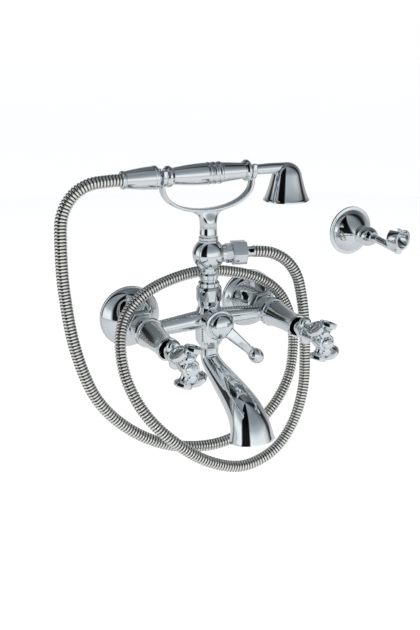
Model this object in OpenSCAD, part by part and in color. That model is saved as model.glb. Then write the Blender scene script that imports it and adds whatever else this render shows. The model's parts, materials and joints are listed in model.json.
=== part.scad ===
// Wall-mounted bath shower mixer with cross handles, a curved spout, a lever diverter,
// a cradle with a telephone-style handset on a ribbed hose, and a separate wall bracket.
// Frame: the wall is the plane Y = 0, the front is -Y, +Z is up, and the origin lies on
// the wall midway between the two inlets. Hot is on the left (-X), cold on the right (+X).

/* [Layout] */
// Distance between the two wall inlets
inlet_spacing = 150; // [140:1:160]
// Distance from the wall to the vertical column axis
column_reach = 50; // [48:0.5:52]
// Height of the handset axis above the inlets
handset_height = 160; // [156:1:172]
// Height of the ball and its hose outlet above the inlets
ball_height = 74; // [72:1:78]

/* [Wall unions] */
// Radius of the threaded stub that screws into the wall
stub_r = 10.48; // [9:0.02:11]
// Depth of the stub in the wall
stub_len = 18; // [12:1:24]
// Radius of the union tube inside the flange
union_r = 12; // [11.5:0.1:12.4]
// Radius of the water bore of the unions
union_bore = 7; // [5:0.5:8]
// Distance from the wall to the washer face of the union
union_len = 36; // [35:0.5:38]
// Radius of the flange rim on the wall
flange_r = 35; // [30:0.5:40]
// Depth of the flange from the wall to its neck
flange_depth = 28; // [22:0.5:28.4]
// Width of the flat rim of the flange
flange_lip = 2.5; // [1.5:0.1:4]
// Width of the flat ring at the edge of the flange
flange_flat = 1.2; // [0.6:0.1:3]
// Wall thickness of the flange
flange_wall = 1.8; // [1.2:0.1:2.4]
// Size of the union nut across its flats
union_nut_af = 30; // [29.4:0.2:32]
// Length of the union nut
union_nut_len = 12; // [11:0.5:12.5]
// Thickness of the inlet washer
washer_t = 2; // [1.5:0.1:3]
// Radius of the union thread on the body tail
tail_r = 13.1; // [12.9:0.1:13.4]

/* [Body] */
// Radius of the valve barrels
barrel_r = 14.5; // [14.2:0.1:15.5]
// Radius of the rim that the shrouds stand on
rim_r = 16.5; // [16:0.1:17.5]
// Thickness of that rim along the valve axis
rim_t = 6; // [4:0.5:7]
// Length of the valve barrels past the washers
barrel_len = 24; // [22:0.5:26]
// Radius of the cross arms where they leave the centre
arm_root_r = 11; // [9:0.5:12]
// Radius of the cross arms at the valve barrels
arm_tip_r = 7.8; // [6.5:0.1:8.4]
// Drop of the cross arms from the centre to the barrels
arm_drop = 4; // [0:0.5:6]
// Radius of the water channels in the arms
channel_r = 4.2; // [3:0.1:4.8]
// Radius of the centre column of the body
core_r = 15.5; // [15:0.1:17]
// Radius of the cup under the column collar
cup_r = 14; // [13:0.1:15]
// Height of the top of the cup
cup_top = 38; // [36:0.5:40]
// Depth of the lowest point of the body below the inlets
core_drop = 31; // [29:0.5:34]
// Radius of the hollow inside the centre column
core_bore = 7; // [6:0.1:7.4]

/* [Valves] */
// Radius of the cartridge body in the barrel
cartridge_r = 9.5; // [9:0.1:10]
// Radius of the valve spindle
spindle_r = 4; // [3.5:0.1:4.4]
// Thickness of each ceramic disc
disc_t = 3; // [2.5:0.1:3.2]
// Distance from the wall to the mouth of the shroud
shroud_reach = 114; // [108:0.5:118]
// Radius of the shroud base
shroud_base_r = 14.8; // [14.6:0.1:15.4]
// Radius of the shroud waist
shroud_waist_r = 11.4; // [11:0.1:12]
// Radius of the shroud mouth
shroud_mouth_r = 12.4; // [12:0.1:13]
// Wall thickness of the shroud
shroud_wall = 1.5; // [1.2:0.1:1.7]

/* [Handles] */
// Distance from the wall to the middle of the handle arms
handle_reach = 162; // [158:0.5:166]
// Distance from the handle axis to the end faces of its arms
handle_arm = 20; // [17:0.5:23]
// Half angle between two neighbouring arms of the handle
handle_splay = 26; // [22:1:45]
// Turn of the handle about its axis with the valve closed
handle_turn = 8; // [0:1:20]
// Radius of the octagonal arm ends
arm_end_r = 9.4; // [8:0.1:10.5]
// Thickness of the octagonal arm ends
arm_end_t = 4.5; // [3:0.5:6]
// Radius of the handle neck in the shroud mouth
handle_neck_r = 7.6; // [7:0.1:8.4]
// Radius of the lobes on the rear collar
lobe_r = 7.5; // [6:0.5:8.5]
// Distance from the wall to the middle of the rear collar
lobe_reach = 129; // [127:0.5:131]

/* [Diverter] */
// Height of the diverter axis above the inlets
diverter_height = 1.5; // [0:0.5:3]
// Radius of the diverter boss on the body
boss_r = 14.5; // [13.5:0.1:15.5]
// Distance from the column axis to the front face of the boss
boss_reach = 24; // [22:0.5:26]
// Radius of the bonnet ring
bonnet_r = 16.8; // [16.2:0.1:18]
// Thickness of the bonnet ring
bonnet_t = 5; // [4:0.5:6]
// Radius of the domed lever hub
hub_r = 14.2; // [13.2:0.1:15.2]
// Height of the domed lever hub
hub_h = 11; // [9:0.5:13]
// Length of the lever from its axis to the middle of the knob
lever_len = 50.5; // [46:0.5:55]
// Angle of the lever below the horizontal at rest
lever_angle = 45; // [30:1:60]
// Forward lean of the lever
lever_lean = 11; // [8:1:16]
// Half the width of the lever where it meets the knob
lever_r = 4.8; // [4.3:0.1:5.3]
// Thickness of the lever between its two flats
lever_flat = 8; // [7:0.1:8.6]
// Radius of the knob on the lever
knob_r = 8.2; // [7.4:0.1:9]

/* [Spout] */
// Distance from the column axis to the middle of the mouth
spout_reach = 101; // [92:1:112]
// Depth of the mouth below the inlets
spout_drop = 100; // [93:1:108]
// Forward tilt of the mouth
mouth_tilt = 12; // [4:1:16]
// Outer radius of the spout at its root
spout_root_r = 10.2; // [10:0.1:10.6]
// Outer radius of the flared mouth
spout_mouth_r = 23.8; // [20:0.2:25]
// Wall thickness of the spout
spout_wall = 2; // [1.6:0.1:2.1]
// Radius of the nipple that joins the spout to the body
spout_nipple_r = 7.9; // [7.6:0.02:8]

/* [Column and cradle] */
// Radius of the ball
ball_r = 17.5; // [16.5:0.1:18.5]
// Radius of the necks above and below the ball
ball_neck_r = 10.5; // [9.8:0.1:11]
// Radius of the collars between the body and the ball
collar_r = 10.3; // [9.8:0.1:11]
// Radius of the vertical bore of the column
column_bore = 5; // [4:0.1:5.5]
// Radius of the cradle stem
stem_r = 9.6; // [9:0.1:10.2]
// Half width of the cradle from the column to the fork faces
cradle_half = 53.4; // [51:0.2:54.6]
// Width of the cradle ribbon from front to back
ribbon_w = 11; // [9:0.5:13]
// Thickness of the cradle ribbon
ribbon_t = 3.6; // [3:0.1:4.4]
// Depth of the cradle below the handset axis
cradle_depth = 40; // [38:0.5:42]
// Radius of the cradle forks
fork_r = 10.5; // [9.8:0.1:11.5]
// Thickness of the cradle forks
fork_t = 5; // [4:0.5:5.4]

/* [Handset] */
// Radius of the neck that lies in the left fork
neck_r = 6.4; // [6:0.1:6.8]
// Radius of the arm that lies in the right fork
head_arm_r = 5.3; // [5:0.1:5.8]
// Largest radius of the grip
grip_r = 11.2; // [10.2:0.1:12]
// Radius of the grip at its two ends
grip_end_r = 8.4; // [8:0.1:9]
// Radius of the bead and of the end ring beside the forks
bead_r = 10.9; // [10.2:0.1:12]
// Radius of the water bore in the handset
handset_bore = 3.6; // [3:0.1:4]
// Distance from the column to the axis of the bell
bell_offset = 95; // [92:0.5:100]
// Radius of the bell at its shoulder
bell_top_r = 16.4; // [15.6:0.1:17.2]
// Radius of the bell rim
bell_rim_r = 25.4; // [23.4:0.2:28]
// Height of the bell from the handset axis to its rim
bell_drop = 36; // [34:0.5:39]
// Wall thickness of the bell
bell_wall = 2; // [1.6:0.1:2.4]
// Length of the cone nut on the handset
cone_nut_len = 38; // [36:0.5:38]
// Radius of the wide end of the cone nut
cone_nut_r = 12.1; // [11.9:0.1:12.8]

/* [Hose] */
// Outer radius of the hose over its ribs
hose_r = 6.4; // [6.2:0.05:6.5]
// Depth of the grooves between the ribs
hose_groove = 0.9; // [0.5:0.1:1.2]
// Radius of the bore of the hose
hose_bore = 3.8; // [3:0.1:4.2]
// Number of ribs on the hose
hose_ribs = 200; // [60:1:200]
// Size of the hose nut across its flats
hose_nut_af = 24; // [23.6:0.2:26]
// Radius of the hose thread on the outlet and on the handset tail
hose_thread_r = 10.1; // [9.8:0.05:10.3]
// Turn of the hose outlet on the ball towards the front
outlet_turn = 14; // [0:1:30]
// Outer radius of the smooth hose ferrules
ferrule_r = 6.2; // [6:0.05:6.3]
// Bore of the hose ferrules
ferrule_bore = 3.8; // [3:0.1:4.2]

/* [Wall bracket] */
// Distance of the bracket to the right of the middle
bracket_x = 219; // [210:1:240]
// Height of the bracket above the inlets
bracket_z = 67; // [60:1:80]
// Radius of the bracket flange
bracket_r = 30; // [27:0.5:33]
// Width of the flat ring at the edge of the bracket flange
bracket_flat = 4; // [2:0.5:6]
// Depth of the bracket flange
bracket_depth = 24; // [21:0.5:26]
// Radius of the plate behind the bracket flange
bracket_plate_r = 21.6; // [20:0.2:22]
// Distance from the middle of the bracket to each of its screws
bracket_hole = 13.8; // [12:0.2:15]
// Radius of the bracket stud
bracket_stud_r = 6; // [5:0.1:6.4]
// Radius of the swivel nut
swivel_r = 11; // [10.4:0.1:12]
// Radius of the bracket arm
bracket_arm_r = 4.6; // [4:0.1:5]
// Distance from the wall to the bend of the bracket arm
arm_bend = 54; // [52:0.5:58]
// Downward slope of the bracket arm past its bend
arm_slope = 6; // [4:1:9]
// Distance from the wall to the middle of the clip
clip_reach = 93; // [90:0.5:98]
// Rise of the clip above the bracket axis
clip_rise = 8.5; // [7:0.5:9.5]
// Outer radius of the clip
clip_r = 12.2; // [12:0.1:12.8]
// Bore of the clip
clip_bore = 9.4; // [9:0.1:9.8]
// Length of the clip along its bore
clip_len = 14; // [11:0.5:18]
// Width of the opening at the top of the clip
clip_slot = 13; // [10:0.5:15]
// Turn of the clip about the upright
clip_turn = -12; // [-20:1:0]

/* [Fits] */
// Radial clearance of turning spindles and stems
run_gap = 0.08; // [0.05:0.01:0.1]
// Radial clearance of fixed pieces that screw or slip together
seat_gap = 0.1; // [0.05:0.05:0.15]
// Gap between a moving piece and the fixed face beside it
face_gap = 0.3; // [0.2:0.05:0.4]
// Clearance of the handset in the cradle forks
fork_gap = 0.4; // [0.3:0.1:0.6]

/* [Hidden] */

$fn = 64;
eps = 0.01;
chrome = [0.86, 0.88, 0.90];
bright = [0.93, 0.94, 0.95];
rubber = [0.10, 0.10, 0.11];
ceramic = [0.93, 0.92, 0.88];
brass = [0.80, 0.66, 0.36];
steel = [0.62, 0.64, 0.66];

// Places along the valve axes, measured from the wall towards the front
nut_back = flange_depth + 0.5;
nut_front = nut_back + union_nut_len;
nut_wall = 2.5;
tail_start = union_len + washer_t;
barrel_start = nut_front + 1.2;
barrel_end = tail_start + barrel_len;
seat = tail_start + 7;
cartridge_flange_t = 4;
cartridge_flange_r = cartridge_r + 2.8;
skirt_r = cartridge_r - 0.6;
skirt_wall = 1.4;
disc_top = seat + 2 * disc_t + run_gap;
spindle_foot_t = 2.5;
cartridge_start = disc_top + spindle_foot_t + face_gap;
cartridge_neck_r = 6.6;
cartridge_neck_end = shroud_reach - 10;
handle_start = cartridge_neck_end + 2 * face_gap;
handle_socket = handle_reach - 20;
arm_neck = handle_arm - arm_end_t;
arm_dish = 2.2;
web_half = 6;
web_t = 13;
bulge_out = 9.5;
bulge_r = 6.2;
bulge_h = 3;
hub_core_r = 9;
lobe_out = 8.2;
lobe_t = 9;
window_w = 8;
port_r = 2.4;
port_out = 4;
handle_screw_r = 2;
screw_head_r = 3.6;
screw_seat = handle_socket + 6;
screw_head_t = 3;
cap_r = 6.2;
cap_h = 8;
cap_seat = handle_reach + 5;

// Places along the diverter, measured from the column axis towards the front
bonnet_thread_r = 10.4;
bonnet_front = boss_reach + bonnet_t;
hub_back = bonnet_front + face_gap;
hub_socket = hub_back + 7;
diverter_stem_r = 4;
plug_r = 7;
plug_pin_r = 2.5;
plug_back = core_bore + 2.5;
plug_t = 3;
lever_rise = 4.5;
lever_pin_r = 2.2;
lever_stop = lever_len - 9.5;
lever_root = hub_r - 6;
knob_len = 19.5;
lever_screw_r = 1.6;

// Places on the spout, measured from the lowest point of the body
spout_nipple_up = 9;
spout_nipple_down = 8;
spout_nipple_bore = 5.5;
spout_screw_r = 2;
spout_screw_z = -core_drop + 5;
spout_screw_turn = 25;

// Places along the column
neck_waist = 12.2;
column_thread_r = 8.6;
column_thread_len = 10;
ball_shoulder = sqrt(ball_r * ball_r - ball_neck_r * ball_neck_r);
ball_top = ball_height + ball_shoulder + 1.5;
collar_top = ball_top + 7;
cradle_bottom = handset_height - cradle_depth;
cradle_pin_r = 5.2;
cradle_pin_start = ball_height + 8;

// Places along the hose outlet, measured from the column axis
outlet_boss_r = 9.4;
outlet_pin_r = 7.5;
outlet_bore = column_bore - 0.5;
outlet_neck = ball_r + 1;
outlet_neck_t = 6;
outlet_socket = outlet_neck - 7;
outlet_end = outlet_neck + outlet_neck_t + 9.5;
outlet_washer_end = outlet_end + washer_t;
ferrule_flange_t = 2;
hose_nut_start = outlet_neck + outlet_neck_t + 0.5;
hose_nut_wall = 3;
hose_nut_end = outlet_washer_end + ferrule_flange_t + hose_nut_wall;

// Places along the handset, measured from the column axis to the right
tail_pin_r = 5.4;
tail_pin_len = 8;
fork_face = cradle_half;
neck_end = fork_face - fork_t - fork_gap;
neck_start = fork_face + fork_gap;
bead_len = 7.5;
grip_start = -neck_end + bead_len;
ring_len = 6;
grip_stop = neck_end - ring_len;
neck_out = 3.2;
cone_front = -neck_start - neck_out;
cone_back = cone_front - cone_nut_len;
tail_thread_end = cone_front - 8.5;
tail_washer_end = tail_thread_end - washer_t;
cone_ferrule_end = tail_washer_end - ferrule_flange_t;

// Sizes of the bell and its spray face, measured from the handset axis
bell_shoulder = head_arm_r - bell_top_r;
bell_lip = 1;
bell_lip_h = 2.5;
face_r = bell_rim_r - bell_wall - bell_lip - seat_gap;
face_t = 2.4;
face_bottom = -bell_drop - 0.4;
spray_hole_r = 0.9;
face_screw_r = 2;
face_screw_head_r = 3.8;

// Places on the wall bracket, measured from the wall towards the front
swivel_start = bracket_depth + 0.5;
swivel_len = 24;
swivel_ball = swivel_start + 12;
swivel_ball_r = 7.4;
bracket_plate_t = 3;
bracket_stud_end = bracket_depth + 4.5;
bracket_thread_r = 2.2;
bracket_shank_r = 1.9;
bracket_head_t = 2.2;

// Route of the hose from the ball's outlet to the cone nut: out to the right, down and round
// below the spout, over the left valve, behind the column, over the right valve, round below
// once more and up the left side
hose_route = [
    [40, -60, 74], [52, -63, 74], [69, -67, 71], [85, -71, 61], [96, -74, 45], [101, -77, 24],
    [103, -82, -6], [102, -88, -46], [97, -94, -86], [82, -98, -124], [54, -103, -150],
    [13, -106, -158], [-29, -105, -142], [-65, -100, -113], [-92, -87, -80], [-106, -71, -43],
    [-106, -57, -8], [-95, -46, 17], [-74, -39, 34], [-42, -31, 44], [0, -27, 49], [40, -30, 44],
    [72, -37, 33], [94, -43, 14], [105, -49, -14], [106, -56, -46], [93, -66, -85],
    [58, -75, -120], [4, -79, -138], [-52, -78, -131], [-100, -74, -105], [-136, -67, -64],
    [-154, -59, -8], [-160, -52, 56], [-159, -50, 111], [-155, -50, 133], [-144, -50, 149],
    [-128, -50, 158], [-109, -50, 160], [-95, -50, 160]
];
hose_from = norm([hose_route[0][0], hose_route[0][1] + column_reach]);
hose_sides = 8;

// Working pieces of geometry

// Turns a shape so that its +Z points to the front, from a distance off the wall
module to_front(distance) {
    translate([0, -distance, 0]) rotate([90, 0, 0]) children();
}

// Turns a shape so that its +Z points to the right, from a distance off the column
module to_right(distance) {
    translate([distance, 0, 0]) rotate([0, 90, 0]) children();
}

module at_side(side) {
    translate([side * inlet_spacing / 2, 0, 0]) children();
}

module at_column(height) {
    translate([0, -column_reach, height]) children();
}

// Frame of the diverter: +Z runs out along its axis from the column
module at_diverter() {
    translate([0, 0, diverter_height]) to_front(column_reach) children();
}

// Frame of the hose outlet: +Z runs out along it from the middle of the ball
module at_outlet() {
    at_column(ball_height) rotate([0, 0, -outlet_turn]) to_right(0) children();
}

module at_bracket() {
    translate([bracket_x, 0, bracket_z]) children();
}

module tube(from, to, outer, inner) {
    translate([0, 0, from]) difference() {
        cylinder(h = to - from, r = outer);
        translate([0, 0, -1]) cylinder(h = to - from + 2, r = inner);
    }
}

module rod(from, to, radius) {
    translate([0, 0, from]) cylinder(h = to - from, r = radius);
}

module cone(from, to, radius_from, radius_to) {
    translate([0, 0, from]) cylinder(h = to - from, r1 = radius_from, r2 = radius_to);
}

module hex(from, to, across_flats) {
    translate([0, 0, from]) cylinder(h = to - from, r = across_flats / sqrt(3), $fn = 6);
}

module revolve(outline) {
    rotate_extrude() polygon(outline);
}

// Bell-shaped wall flange with a flat rim, standing on the plane Z = 0
module bell_flange(rim, flat, depth, lip, wall, bore) {
    steps = 10;
    neck = bore + wall;
    outer = [for (i = [0:steps]) let (u = i / steps)
        [neck + (rim - flat - neck) * (1 - pow(u, 1.6)), lip + (depth - lip) * u]];
    inner = [for (i = [steps:-1:0]) let (p = outer[i])
        [max(bore, p[0] - wall), i == 0 ? lip : max(lip, p[1] - wall)]];
    revolve(concat([[rim, 0], [rim, lip - 0.5]], outer, [[bore, depth]], inner, [[rim - flat - wall, 0]]));
}

// Functions for swept tubes

function unit(v) = v / norm(v);

// Point of a smooth curve through the points, at stretch i and share t of it
function spline_point(points, i, t) =
    let (n = len(points),
         a = points[max(0, i - 1)], b = points[i],
         c = points[min(n - 1, i + 1)], d = points[min(n - 1, i + 2)])
    b + 0.5 * t * ((c - a) + t * ((2 * a - 5 * b + 4 * c - d) + t * (3 * (b - c) + d - a)));

function spline(points, steps) =
    concat([for (i = [0:len(points) - 2]) for (k = [0:steps - 1]) spline_point(points, i, k / steps)],
        [points[len(points) - 1]]);

// Running length along a list of points
function running(points, i = 0, sum = 0, out = []) =
    i == len(points) ? out :
    let (s = i == 0 ? 0 : sum + norm(points[i] - points[i - 1])) running(points, i + 1, s, concat(out, [s]));

// Point at a given length, found from the running lengths
function at_length(points, sums, s) =
    let (i = max([for (k = [0:len(sums) - 2]) sums[k] <= s ? k : 0]),
         span = sums[i + 1] - sums[i])
    points[i] + (points[i + 1] - points[i]) * min(1, (s - sums[i]) / span);

function directions(points) =
    let (n = len(points))
    [for (i = [0:n - 1]) unit(points[min(n - 1, i + 1)] - points[max(0, i - 1)])];

// Side vectors carried along the curve without twist
function side_vectors(dirs, i = 0, out = []) =
    i == len(dirs) ? out :
    let (last = i == 0 ? [0, 1, 0] : out[i - 1],
         side = unit(last - dirs[i] * (last * dirs[i])))
    side_vectors(dirs, i + 1, concat(out, [side]));

function ring_points(centre, dir, side, radius, sides) =
    let (up = cross(dir, side))
    [for (k = [0:sides - 1]) let (a = 360 * k / sides)
        centre + radius * (cos(a) * side + sin(a) * up)];

// Triangles between rings a and b, whose first points have the numbers given
function band(a, b, sides, flip) =
    [for (k = [0:sides - 1]) let (m = (k + 1) % sides)
        each flip ? [[a + k, b + k, b + m], [a + k, b + m, a + m]]
                  : [[a + k, b + m, b + k], [a + k, a + m, b + m]]];

// Closed tube from outer rings and inner rings of points
module swept_shell(outer, inner, sides) {
    no = len(outer);
    ni = len(inner);
    first_in = no * sides;
    points = concat([for (r = outer) each r], [for (r = inner) each r]);
    faces = concat(
        [for (i = [0:no - 2]) each band(i * sides, (i + 1) * sides, sides, false)],
        [for (i = [0:ni - 2]) each band(first_in + i * sides, first_in + (i + 1) * sides, sides, true)],
        band(0, first_in, sides, true),
        band((no - 1) * sides, first_in + (ni - 1) * sides, sides, false));
    polyhedron(points, faces);
}

// Wall unions, nuts, washers and flanges

module wall_flange(side) {
    color(chrome) at_side(side) to_front(0)
        bell_flange(flange_r, flange_flat, flange_depth, flange_lip, flange_wall, union_r + face_gap);
}

module wall_union(side) {
    color(chrome) at_side(side) to_front(0) difference() {
        union() {
            rod(-stub_len, eps, stub_r);
            rod(0, union_len, union_r);
            rod(nut_back + nut_wall, union_len, tail_r);
        }
        rod(-stub_len - 1, union_len + 1, union_bore);
    }
}

module union_nut(side) {
    color(bright) at_side(side) to_front(0) difference() {
        rotate(30) hex(nut_back, nut_front, union_nut_af);
        rod(nut_back - 1, nut_front + 1, union_r + seat_gap);
        rod(nut_back + nut_wall, nut_front + 1, tail_r + seat_gap);
    }
}

module inlet_washer(side) {
    color(rubber) at_side(side) to_front(0) tube(union_len, tail_start, tail_r - 0.4, union_bore);
}

// Body casting

module arm(side, radius_root, radius_tip) {
    root = [0, -column_reach, arm_drop / 2];
    tip = [side * inlet_spacing / 2, -column_reach, -arm_drop / 2];
    run = tip - root;
    translate(root) rotate([0, 90 + asin(-run[2] / norm(run)), side > 0 ? 0 : 180])
        cylinder(h = norm(run), r1 = radius_root, r2 = radius_tip);
}

module body_core() {
    at_column(0) revolve([
        [0, -core_drop], [spout_root_r + 0.4, -core_drop], [core_r - 1, -core_drop + 6],
        [core_r, -core_drop + 9], [core_r, 8], [neck_waist, 16], [neck_waist, 19],
        [cup_r, 24], [cup_r, cup_top - 2], [cup_r - 1, cup_top], [0, cup_top]
    ]);
}

module body_barrel(side) {
    at_side(side) to_front(0) {
        rod(tail_start, barrel_start + 1, tail_r);
        revolve([
            [0, barrel_start], [barrel_r - 1.2, barrel_start], [barrel_r, barrel_start + 1.6],
            [barrel_r, barrel_end - rim_t - 1.5], [rim_r, barrel_end - rim_t],
            [rim_r, barrel_end - 1], [rim_r - 1, barrel_end], [0, barrel_end]
        ]);
    }
}

module mixer_body() {
    color(chrome) difference() {
        union() {
            body_core();
            for (side = [-1, 1]) {
                body_barrel(side);
                arm(side, arm_root_r, arm_tip_r);
            }
            at_diverter() rod(0, boss_reach, boss_r);
        }
        for (side = [-1, 1]) {
            at_side(side) to_front(0) {
                rod(tail_start - 1, seat + 1, union_bore);
                rod(seat, barrel_end + 1, cartridge_r + seat_gap);
            }
            arm(side, channel_r, channel_r);
        }
        at_column(-core_drop) rod(-1, spout_nipple_up, spout_nipple_r + seat_gap);
        at_column(-core_drop) rod(spout_nipple_up - 1, core_drop + 22, core_bore);
        at_column(cup_top) rod(-column_thread_len - 2, 1, column_thread_r + seat_gap);
        at_column(0) rod(0, cup_top - column_thread_len - 1, column_bore);
        at_diverter() rod(0, boss_reach + 1, bonnet_thread_r + seat_gap);
        spout_screw_cut();
    }
}

// Valve insides

module cartridge(side) {
    color(brass) at_side(side) to_front(0) difference() {
        union() {
            rod(seat + disc_t + run_gap, cartridge_start, skirt_r);
            rod(cartridge_start, barrel_end, cartridge_r);
            rotate(30) hex(barrel_end, barrel_end + cartridge_flange_t, cartridge_flange_r * sqrt(3));
            rod(barrel_end, cartridge_neck_end, cartridge_neck_r);
        }
        rod(seat, disc_top + spindle_foot_t + face_gap, skirt_r - skirt_wall);
        rod(seat, cartridge_neck_end + 1, spindle_r + run_gap);
        for (turn = [0, 180]) {
            rotate(turn) translate([0, -window_w / 2, seat + disc_t - 1])
                cube([skirt_r + 2, window_w, disc_t + 1]);
        }
    }
}

module fixed_disc(side) {
    color(ceramic) at_side(side) to_front(0) difference() {
        rod(seat, seat + disc_t, skirt_r);
        for (turn = [0, 180]) {
            rotate(turn) translate([port_out, 0, 0]) rod(seat - 1, seat + disc_t + 1, port_r);
        }
    }
}

module turning_disc(side) {
    color(ceramic) at_side(side) to_front(0) difference() {
        rod(seat + disc_t + run_gap, disc_top, skirt_r - skirt_wall - face_gap);
        for (turn = [90, 270]) {
            rotate(turn) translate([port_out, 0, 0]) rod(seat, disc_top + 1, port_r);
        }
    }
}

module spindle(side) {
    color(brass) at_side(side) to_front(0) difference() {
        union() {
            rod(disc_top, disc_top + spindle_foot_t, skirt_r - skirt_wall - face_gap);
            rod(disc_top, handle_socket, spindle_r);
        }
        rod(handle_socket - 12, handle_socket + 1, handle_screw_r);
    }
}

module shroud(side) {
    length = shroud_reach - barrel_end;
    base = 6;
    steps = 8;
    outer = [for (i = [0:steps]) let (u = i / steps)
        [shroud_waist_r + (shroud_base_r - 0.4 - shroud_waist_r) * pow(1 - u, 1.7),
         base + (length - 12 - base) * u]];
    profile = concat([[shroud_base_r - 0.5, 0], [shroud_base_r, 0.6], [shroud_base_r, base - 0.6]], outer,
        [[shroud_waist_r + 0.1, length - 6], [shroud_mouth_r, length - 1.4], [shroud_mouth_r - 0.4, length]]);
    inside = [for (i = [len(profile) - 1:-1:0]) let (p = profile[i])
        [p[0] - shroud_wall + (i < 3 ? 0.3 : 0), p[1]]];
    color(chrome) at_side(side) to_front(barrel_end) revolve(concat(profile, inside));
}

// Handles

// Octagonal end of one handle arm, with a round recess in its face
module arm_end() {
    translate([0, 0, arm_neck - 0.5]) difference() {
        rotate(22.5) cylinder(h = arm_end_t + 0.5, r = arm_end_r, $fn = 8);
        translate([0, 0, arm_end_t - arm_dish]) cylinder(h = arm_dish + 2, r = arm_end_r - 2.6);
    }
}

// Corner points of one arm of the web, from its right side to its left side
function arm_corners(angle) = [for (across = [-web_half, web_half])
    [arm_neck * cos(angle) - across * sin(angle), arm_neck * sin(angle) + across * cos(angle)]];

function polar(radius, angle) = [radius * cos(angle), radius * sin(angle)];

// Web of the four arms, with a deep hollow at the sides and a notch at top and bottom
module handle_web() {
    notch = web_half / sin(handle_splay);
    waist = web_half / cos(handle_splay);
    linear_extrude(height = web_t, center = true) polygon(concat(
        [polar(waist, 0)], arm_corners(90 - handle_splay),
        [polar(notch, 90)], arm_corners(90 + handle_splay),
        [polar(waist, 180)], arm_corners(270 - handle_splay),
        [polar(notch, 270)], arm_corners(270 + handle_splay)));
}

module handle_front() {
    rotate(handle_turn) {
        handle_web();
        for (angle = [90 - handle_splay, 90 + handle_splay, 270 - handle_splay, 270 + handle_splay]) {
            rotate(angle) rotate([0, 90, 0]) arm_end();
        }
        for (angle = [90, 270]) {
            rotate(angle) translate([bulge_out, 0, 0]) rod(0, web_t / 2 + bulge_h, bulge_r);
        }
    }
    rod(-web_t / 2 - 3, cap_seat - handle_reach + 3, hub_core_r);
}

module handle_rear() {
    for (angle = [90, 270]) {
        rotate(angle + handle_turn) translate([lobe_out, 0, 0]) rod(-lobe_t / 2, lobe_t / 2, lobe_r);
    }
    rod(-lobe_t / 2 - 1, lobe_t / 2 + 1, handle_neck_r + 1.4);
}

module handle(side) {
    color(bright) at_side(side) to_front(0) difference() {
        union() {
            rod(handle_start, lobe_reach, handle_neck_r);
            translate([0, 0, lobe_reach]) handle_rear();
            cone(lobe_reach, handle_reach - web_t / 2, handle_neck_r + 0.6, hub_core_r - 2);
            translate([0, 0, handle_reach]) handle_front();
        }
        rod(handle_start - 1, handle_socket + seat_gap, spindle_r + seat_gap);
        rod(handle_socket, handle_reach + 20, handle_screw_r + seat_gap);
        rod(screw_seat, handle_reach + 20, screw_head_r + seat_gap);
        rod(cap_seat, handle_reach + 20, cap_r + seat_gap);
    }
}

module handle_screw(side) {
    color(steel) at_side(side) to_front(0) difference() {
        union() {
            rod(handle_socket - 10, screw_seat + eps, handle_screw_r - 0.05);
            rod(screw_seat, screw_seat + screw_head_t, screw_head_r);
        }
        hex(screw_seat + 1, screw_seat + screw_head_t + 1, 3);
    }
}

module handle_cap(side) {
    color(bright) at_side(side) to_front(0) {
        revolve([[0, cap_seat], [cap_r, cap_seat], [cap_r, cap_seat + cap_h - 3.4],
            [cap_r - 0.9, cap_seat + cap_h - 1.6], [cap_r - 3.1, cap_seat + cap_h - 0.4],
            [0, cap_seat + cap_h]]);
    }
}

// Diverter

module diverter_bonnet() {
    color(chrome) at_diverter() difference() {
        union() {
            rod(boss_reach - 9, boss_reach + eps, bonnet_thread_r);
            revolve([[0, boss_reach], [bonnet_r - 0.8, boss_reach], [bonnet_r, boss_reach + 0.8],
                [bonnet_r, bonnet_front - 1.2], [bonnet_r - 1.2, bonnet_front], [0, bonnet_front]]);
        }
        rod(0, bonnet_front + 1, diverter_stem_r + run_gap);
    }
}

module diverter_spindle() {
    color(brass) at_diverter() union() {
        rod(plug_back + plug_t, hub_socket, diverter_stem_r);
        rod(plug_back, plug_back + plug_t + eps, plug_pin_r);
    }
}

module diverter_plug() {
    color(rubber) at_diverter() tube(plug_back, plug_back + plug_t, plug_r, plug_pin_r);
}

// Frame of the lever: +Z runs out along it from the diverter axis
module at_lever() {
    at_diverter() translate([0, 0, hub_back + lever_rise]) rotate([0, 0, -lever_angle])
        rotate([0, 90 - lever_lean, 0]) children();
}

module diverter_lever() {
    color(chrome) difference() {
        union() {
            at_diverter() revolve(concat([[0, hub_back], [hub_r - 0.6, hub_back]],
                [for (i = [0:9]) let (a = i * 10) [hub_r * cos(a), hub_back + 1.5 + (hub_h - 1.5) * sin(a)]],
                [[0, hub_back + hub_h]]));
            at_lever() intersection() {
                cone(lever_root, lever_stop, lever_r + 1.8, lever_r);
                translate([-lever_flat / 2, -hub_r, 0]) cube([lever_flat, 2 * hub_r, lever_stop + 1]);
            }
        }
        at_diverter() rod(hub_back - 1, hub_socket + seat_gap, diverter_stem_r + seat_gap);
        at_lever() rod(lever_stop - 8, lever_stop + 1, lever_pin_r + seat_gap);
        at_lever() rod(-hub_r - 6, 0, lever_screw_r + seat_gap);
    }
}

module lever_knob() {
    color(bright) at_lever() union() {
        rod(lever_stop - 7, lever_stop + eps, lever_pin_r);
        revolve([[0, lever_stop], [lever_r + 0.2, lever_stop], [lever_r + 0.6, lever_stop + 1.4],
            [knob_r - 1, lever_stop + 4.5], [knob_r, lever_stop + 8.5], [knob_r - 0.2, lever_stop + 11],
            [knob_r - 1.6, lever_stop + 14.5], [knob_r - 4.2, lever_stop + knob_len - 1.8],
            [0, lever_stop + knob_len]]);
    }
}

// Grub screw that locks the hub on its spindle, opposite the lever
module lever_screw() {
    color(steel) at_lever() difference() {
        rod(-9.5, -diverter_stem_r - 1.2, lever_screw_r);
        hex(-9.5 - 1, -7.5, 1.5);
    }
}

// Spout

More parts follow.
